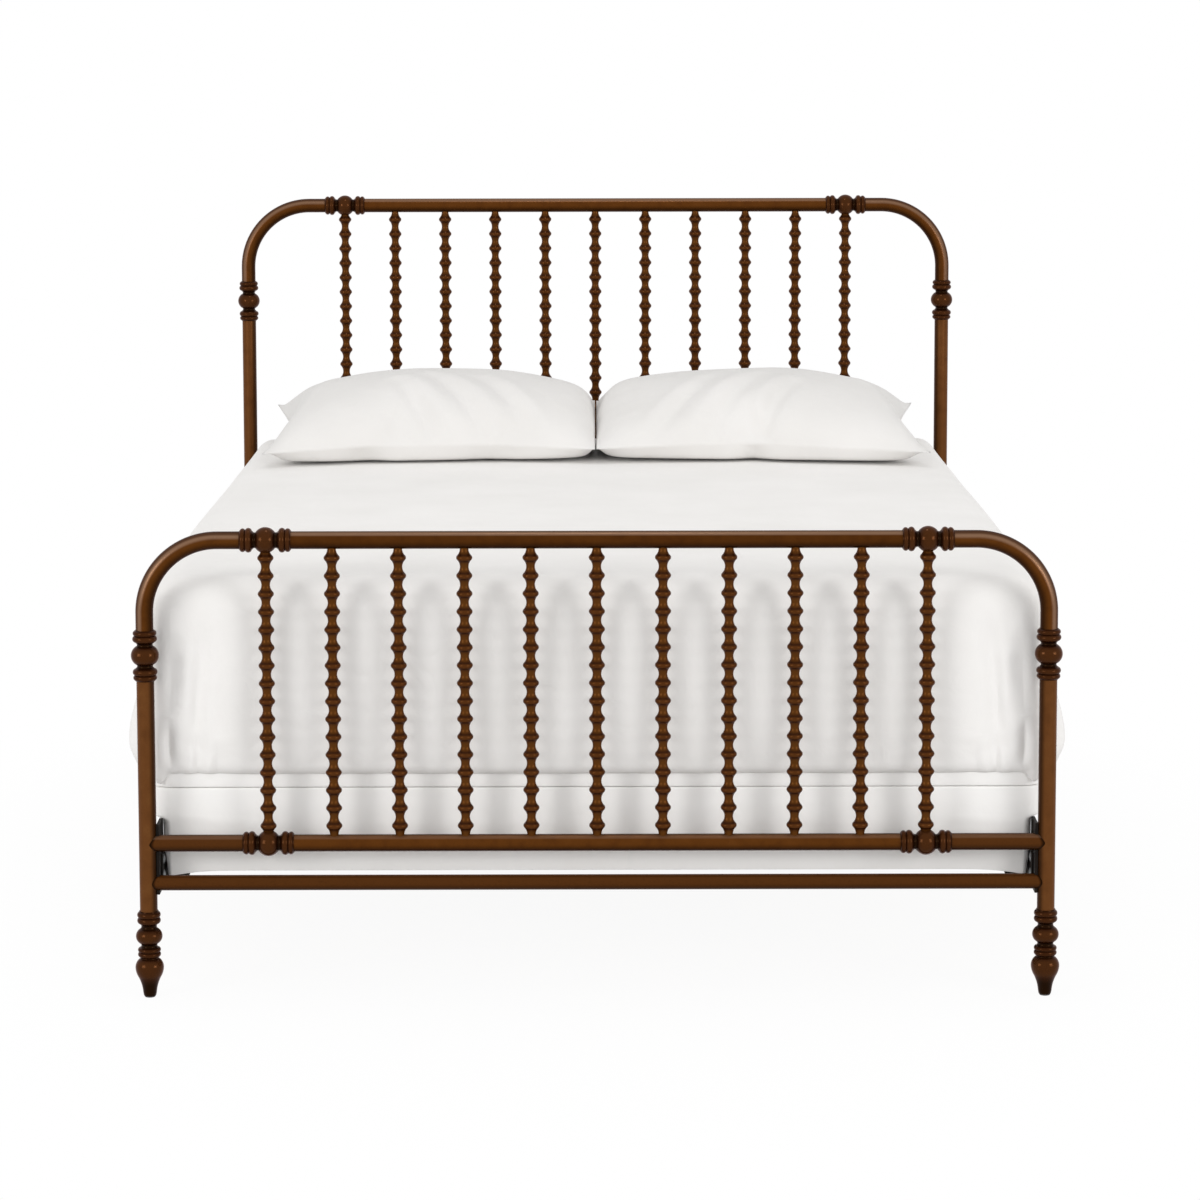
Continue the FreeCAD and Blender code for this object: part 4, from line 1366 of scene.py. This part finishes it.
        # A corner of the case has no edges but the seam's two, and stays
        seam = {vert: pair for vert, pair in beside.items() if pair and len(vert.link_edges) > 2}
        for _ in range(self.seam_relaxing):
            eased = {vert: vert.co / 2 + (pair[0].co + pair[1].co) / 4 for vert, pair in seam.items()}
            for vert, place in eased.items():
                vert.co = place
        for _ in range(self.relaxing):
            bmesh.ops.smooth_vert(
                bm, verts=loose, factor=0.5, use_axis_x=True, use_axis_y=True, use_axis_z=True
            )
        bm.to_mesh(mesh)
        bm.free()

    @staticmethod
    def puff(piece: bpy.types.Object, size: Vector) -> None:
        """Give the case a quick crowned form, for trial runs.

        Args:
            piece: The flat case.
            size: The laid pillow's size.
        """
        for vert in piece.data.vertices:
            x, y = 2 * vert.co.x / size.x, 2 * vert.co.y / size.y
            crown = max(1 - x ** 4, 0.0) ** 0.6 * max(1 - y * y, 0.0) ** 0.6
            vert.co.z += math.copysign(0.5 * size.z * crown, vert.co.z) if abs(vert.co.z) > 1e-6 else 0.0

    def lay(self, piece: bpy.types.Object, low: Vector, high: Vector) -> None:
        """Fit the filled case to its place, tilt it and flatten it where it rests.

        Args:
            piece: The filled case.
            low: The lowest corner of the pillow's solid.
            high: Its highest corner.
        """
        verts = piece.data.vertices
        size, middle = high - low, (low + high) / 2
        spans = [(min(v.co[axis] for v in verts), max(v.co[axis] for v in verts)) for axis in range(3)]
        crown = high.z - low.z - (self.front_seam + self.back_seam) / 2
        flats = [
            Vector([
                (v.co[axis] - sum(spans[axis]) / 2) / (spans[axis][1] - spans[axis][0]) for axis in range(2)
            ])
            for v in verts
        ]
        spread = [self.pull(flats, axis) for axis in range(2)]
        for vert, flat in zip(verts, flats):
            x = middle.x + flat.x * spread[0](flat) * size.x * self.stretch
            outwards = clamp(0.5 + self.side.value * flat.x, 0.0, 1.0)
            y = middle.y + flat.y * spread[1](flat) * size.y - self.slant * outwards
            if self.side.value * x < self.inner_gap:
                x = self.side.value * self.inner_gap
            seam = self.front_seam + (self.back_seam - self.front_seam) * (flat.y + 0.5)
            raised = vert.co.z / spans[2][1] * crown + seam
            if vert.co.z > 0.0:
                along, back = -self.side.value * flat.x * size.x, flat.y * size.y
                push = sum(fold.push(along, back) for fold in self.folds)
                raised -= push * ease(0.0, self.fold_from, vert.co.z)
            if raised < self.sole:
                raised = self.sole * math.exp((raised - self.sole) / (3 * self.sole))
            vert.co = Vector((x, y, low.z + self.lift + raised))
        piece.data.update()

    def pull(self, flats: Sequence[Vector], axis: int) -> Callable[[Vector], float]:
        """Find how far each row of the case is pulled out, so that its drawn-in edges lie straight.

        Args:
            flats: The case's points as shares of its length and depth, from its middle.
            axis: 0 to straighten the ends, or 1 to straighten the front and back.

        Returns:
            A function that gives a point's factor.
        """
        reach = {side: [0.0] * (self.rows + 1) for side in Side}
        for flat in flats:
            row = round((flat[1 - axis] + 0.5) * self.rows)
            side = Side.RIGHT if flat[axis] > 0 else Side.LEFT
            reach[side][row] = max(reach[side][row], abs(flat[axis]))

        def factor(flat: Vector) -> float:
            """Blend the factors of the two rows beside a point."""
            place = clamp((flat[1 - axis] + 0.5) * self.rows, 0.0, self.rows - 1e-6)
            side = Side.RIGHT if flat[axis] > 0 else Side.LEFT
            first, share = int(place), place % 1.0
            found = reach[side][first] * (1 - share) + reach[side][first + 1] * share
            if axis:
                strength = self.straighten_depth
            else:
                strength = self.straighten_outer if side is self.side else self.straighten_inner
            return 1 + strength * (0.5 / max(found, 0.3) - 1)

        return factor


@dataclass(frozen=True)
class Lamp:
    """A square lamp: its place on the right of the bed, the length of its sides and its power in watts."""

    place: Point
    size: float
    watts: float

    def hang(self, name: str, aim: Point, side: Side = Side.RIGHT) -> None:
        """Hang the lamp on one side of the bed.

        Args:
            name: The lamp's name.
            aim: The point that it faces.
            side: The side of the bed.
        """
        light = bpy.data.lights.new(name, "AREA")
        light.size = self.size
        light.energy = self.watts
        lamp = put(name, light)
        lamp.location = (side.value * self.place[0], *self.place[1:])
        lamp.rotation_euler = (Vector(aim) - lamp.location).to_track_quat("-Z", "Y").to_euler()


@dataclass
class Studio:
    """The floor, the soft lamps, the white surround and the camera."""

    camera_place: Point = (-0.0070, -7.7321, 1.8125)
    camera_tilt: float = 6.748
    camera_roll: float = 0.096
    camera_pan: float = -0.1237
    focal_px: float = 3868.5
    image_px: float = 1200.0
    shift: float = -0.15
    view_end: float = 200.0
    aim: Point = (0.0, 0.0, 0.55)
    softbox: Lamp = Lamp((5.3, -5.4, 2.2), 3.0, 142.0)
    glint_lamp: Lamp = Lamp((5.1, -5.2, 2.2), 0.5, 14.0)
    top_softbox: Lamp = Lamp((0.0, -0.6, 5.2), 0.8, 18.0)
    ambient: float = 0.78
    floor_size: float = 40.0
    floor_bounce: str = "#d4d4d4"
    floor_paint: str = "#f8f8f8"
    white: str = "#ffffff"
    shadow_stretch: Point = (1.0, 1.35, 1.0)
    shadow_reach: tuple[float, float] = (0.8, 1.7)
    shadow_white: float = 0.93

    def build(self) -> None:
        """Set up the studio."""
        self.add_camera()
        self.add_floor()
        self.add_surround()
        for side in Side:
            name = side.name.lower()
            self.softbox.hang(name + "_softbox", self.aim, side)
            # A small lamp before each softbox puts the glints on the beads and rings
            self.glint_lamp.hang(name + "_glint_lamp", self.aim, side)
        self.top_softbox.hang("top_softbox", self.aim)
        bpy.context.scene.view_settings.view_transform = "Standard"

    def add_camera(self) -> None:
        """Place the camera at the photograph's angle."""
        lens = bpy.data.cameras.new("camera")
        lens.sensor_width = 36.0
        lens.lens = lens.sensor_width * self.focal_px / self.image_px
        lens.shift_y = self.shift
        lens.clip_end = self.view_end
        camera = put("camera", lens)
        camera.location = self.camera_place
        angles = (90 - self.camera_tilt, self.camera_roll, self.camera_pan)
        camera.rotation_euler = [math.radians(angle) for angle in angles]
        bpy.context.scene.camera = camera

    @staticmethod
    def seen(tree: bpy.types.NodeTree) -> bpy.types.NodeSocket:
        """Tell what the camera sees, by itself or in gloss or glass, from what only lights the bed.

        Args:
            tree: The node tree of the floor or the surround.

        Returns:
            A socket with one for what is seen, and zero for the rest.
        """
        path = add_node(tree, "LightPath").outputs
        found = path["Is Camera Ray"]
        for ray in ("Is Glossy Ray", "Is Transmission Ray"):
            found = add_node(tree, "Math", {"operation": "MAXIMUM"}, {0: found, 1: path[ray]}).outputs[0]
        return found

    def add_floor(self) -> None:
        """Lay a pale floor that shows white to the camera and keeps the bed's soft shadow."""
        bm = bmesh.new()
        bmesh.ops.create_grid(bm, x_segments=1, y_segments=1, size=self.floor_size)
        mesh = bpy.data.meshes.new("floor")
        bm.to_mesh(mesh)
        bm.free()
        floor = put("floor", mesh)
        material = bpy.data.materials.new("pale_studio_floor")
        material.use_nodes = True
        tree = material.node_tree
        tree.nodes.clear()
        seen = self.seen(tree)
        place = add_node(tree, "TexCoord").outputs["Object"]
        # Only the floor near the bed takes its shadow, so that the far floor stays even
        shrunk = add_node(tree, "VectorMath", {"operation": "DIVIDE"}, {0: place, 1: self.shadow_stretch})
        near = add_node(tree, "VectorMath", {"operation": "LENGTH"}, {0: shrunk.outputs[0]}).outputs["Value"]
        reach = {"From Min": self.shadow_reach[0], "From Max": self.shadow_reach[1]}
        white = add_node(
            tree, "MapRange", SMOOTH_RISE, {"Value": near, "To Min": self.shadow_white, **reach}
        )
        share = add_node(tree, "Math", {"operation": "MULTIPLY"}, {0: seen, 1: white.outputs[0]})
        mixed = {MIX_SHARE: seen, MIX_FIRST: linear(self.floor_bounce), MIX_SECOND: linear(self.floor_paint)}
        paint = add_node(tree, "Mix", COLOUR_MIX, mixed)
        matt = add_node(tree, "BsdfDiffuse", None, {"Color": paint.outputs[MIX_RESULT]})
        glow = add_node(tree, "Emission", None, {"Color": linear(self.white), "Strength": 1.0})
        both = add_node(
            tree, "MixShader", None, {0: share.outputs[0], 1: matt.outputs[0], 2: glow.outputs[0]}
        )
        add_node(tree, "OutputMaterial", None, {"Surface": both.outputs[0]})
        mesh.materials.append(material)

    def add_surround(self) -> None:
        """Light the scene evenly and show white behind the bed."""
        world = bpy.data.worlds.new("studio_surround")
        world.use_nodes = True
        bpy.context.scene.world = world
        tree = world.node_tree
        tree.nodes.clear()
        strength = add_node(tree, "MapRange", None, {"Value": self.seen(tree), "To Min": self.ambient})
        light = {"Color": linear(self.white), "Strength": strength.outputs[0]}
        sky = add_node(tree, "Background", None, light)
        add_node(tree, "OutputWorld", None, {"Surface": sky.outputs[0]})


def main() -> None:
    """Dress the bed and set up the studio."""
    logging.basicConfig(level=logging.INFO, format="%(message)s")
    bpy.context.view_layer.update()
    BedFrame().dress()
    ScrewSet().build()
    # A whiter cotton than the duvet's, painted lighter to make up for the shade under the duvet's hem and the
    # rails; it covers the box spring and the mattress's tape and band
    painted_light_cloth = {"thread": "#fbfaf8", "shade": "#f3f1ee"}
    UpholsteredBlock(
        "box_spring", "box_spring_cover",
        CottonCloth("cotton_box_spring_cover", crease_mm=60.0, **painted_light_cloth),
        swell=0.004,
        over_rails=0.022,
        corner_sag=0.0088,
        band=(0.0, 0.008),
        seams=(-0.149, 0.055),
        creases=(
            Crease((-0.755, 0.338), (-0.600, 0.312), 0.0026, 0.012),
            Crease((-0.745, 0.305), (-0.650, 0.268), 0.0030, 0.014),
            Crease((-0.735, 0.268), (-0.670, 0.240), 0.0028, 0.013),
            Crease((0.480, 0.335), (0.720, 0.318), 0.0024, 0.014),
            Crease((0.560, 0.300), (0.735, 0.270), 0.0026, 0.016),
        ),
    ).build()
    UpholsteredBlock(
        "mattress", "mattress_cover",
        CottonCloth("quilted_mattress_cover", thread="#f4f2ef", shade="#eae7e3", quilt_mm=90.0),
        CottonCloth("cotton_edge_tape", weave_mm=2.2, **painted_light_cloth),
        band=(0.027, 0.014),
    ).build()
    Duvet().build()
    for side in Side:
        Pillow(side).build()
    Studio().build()


if __name__ == "__main__":
    main()
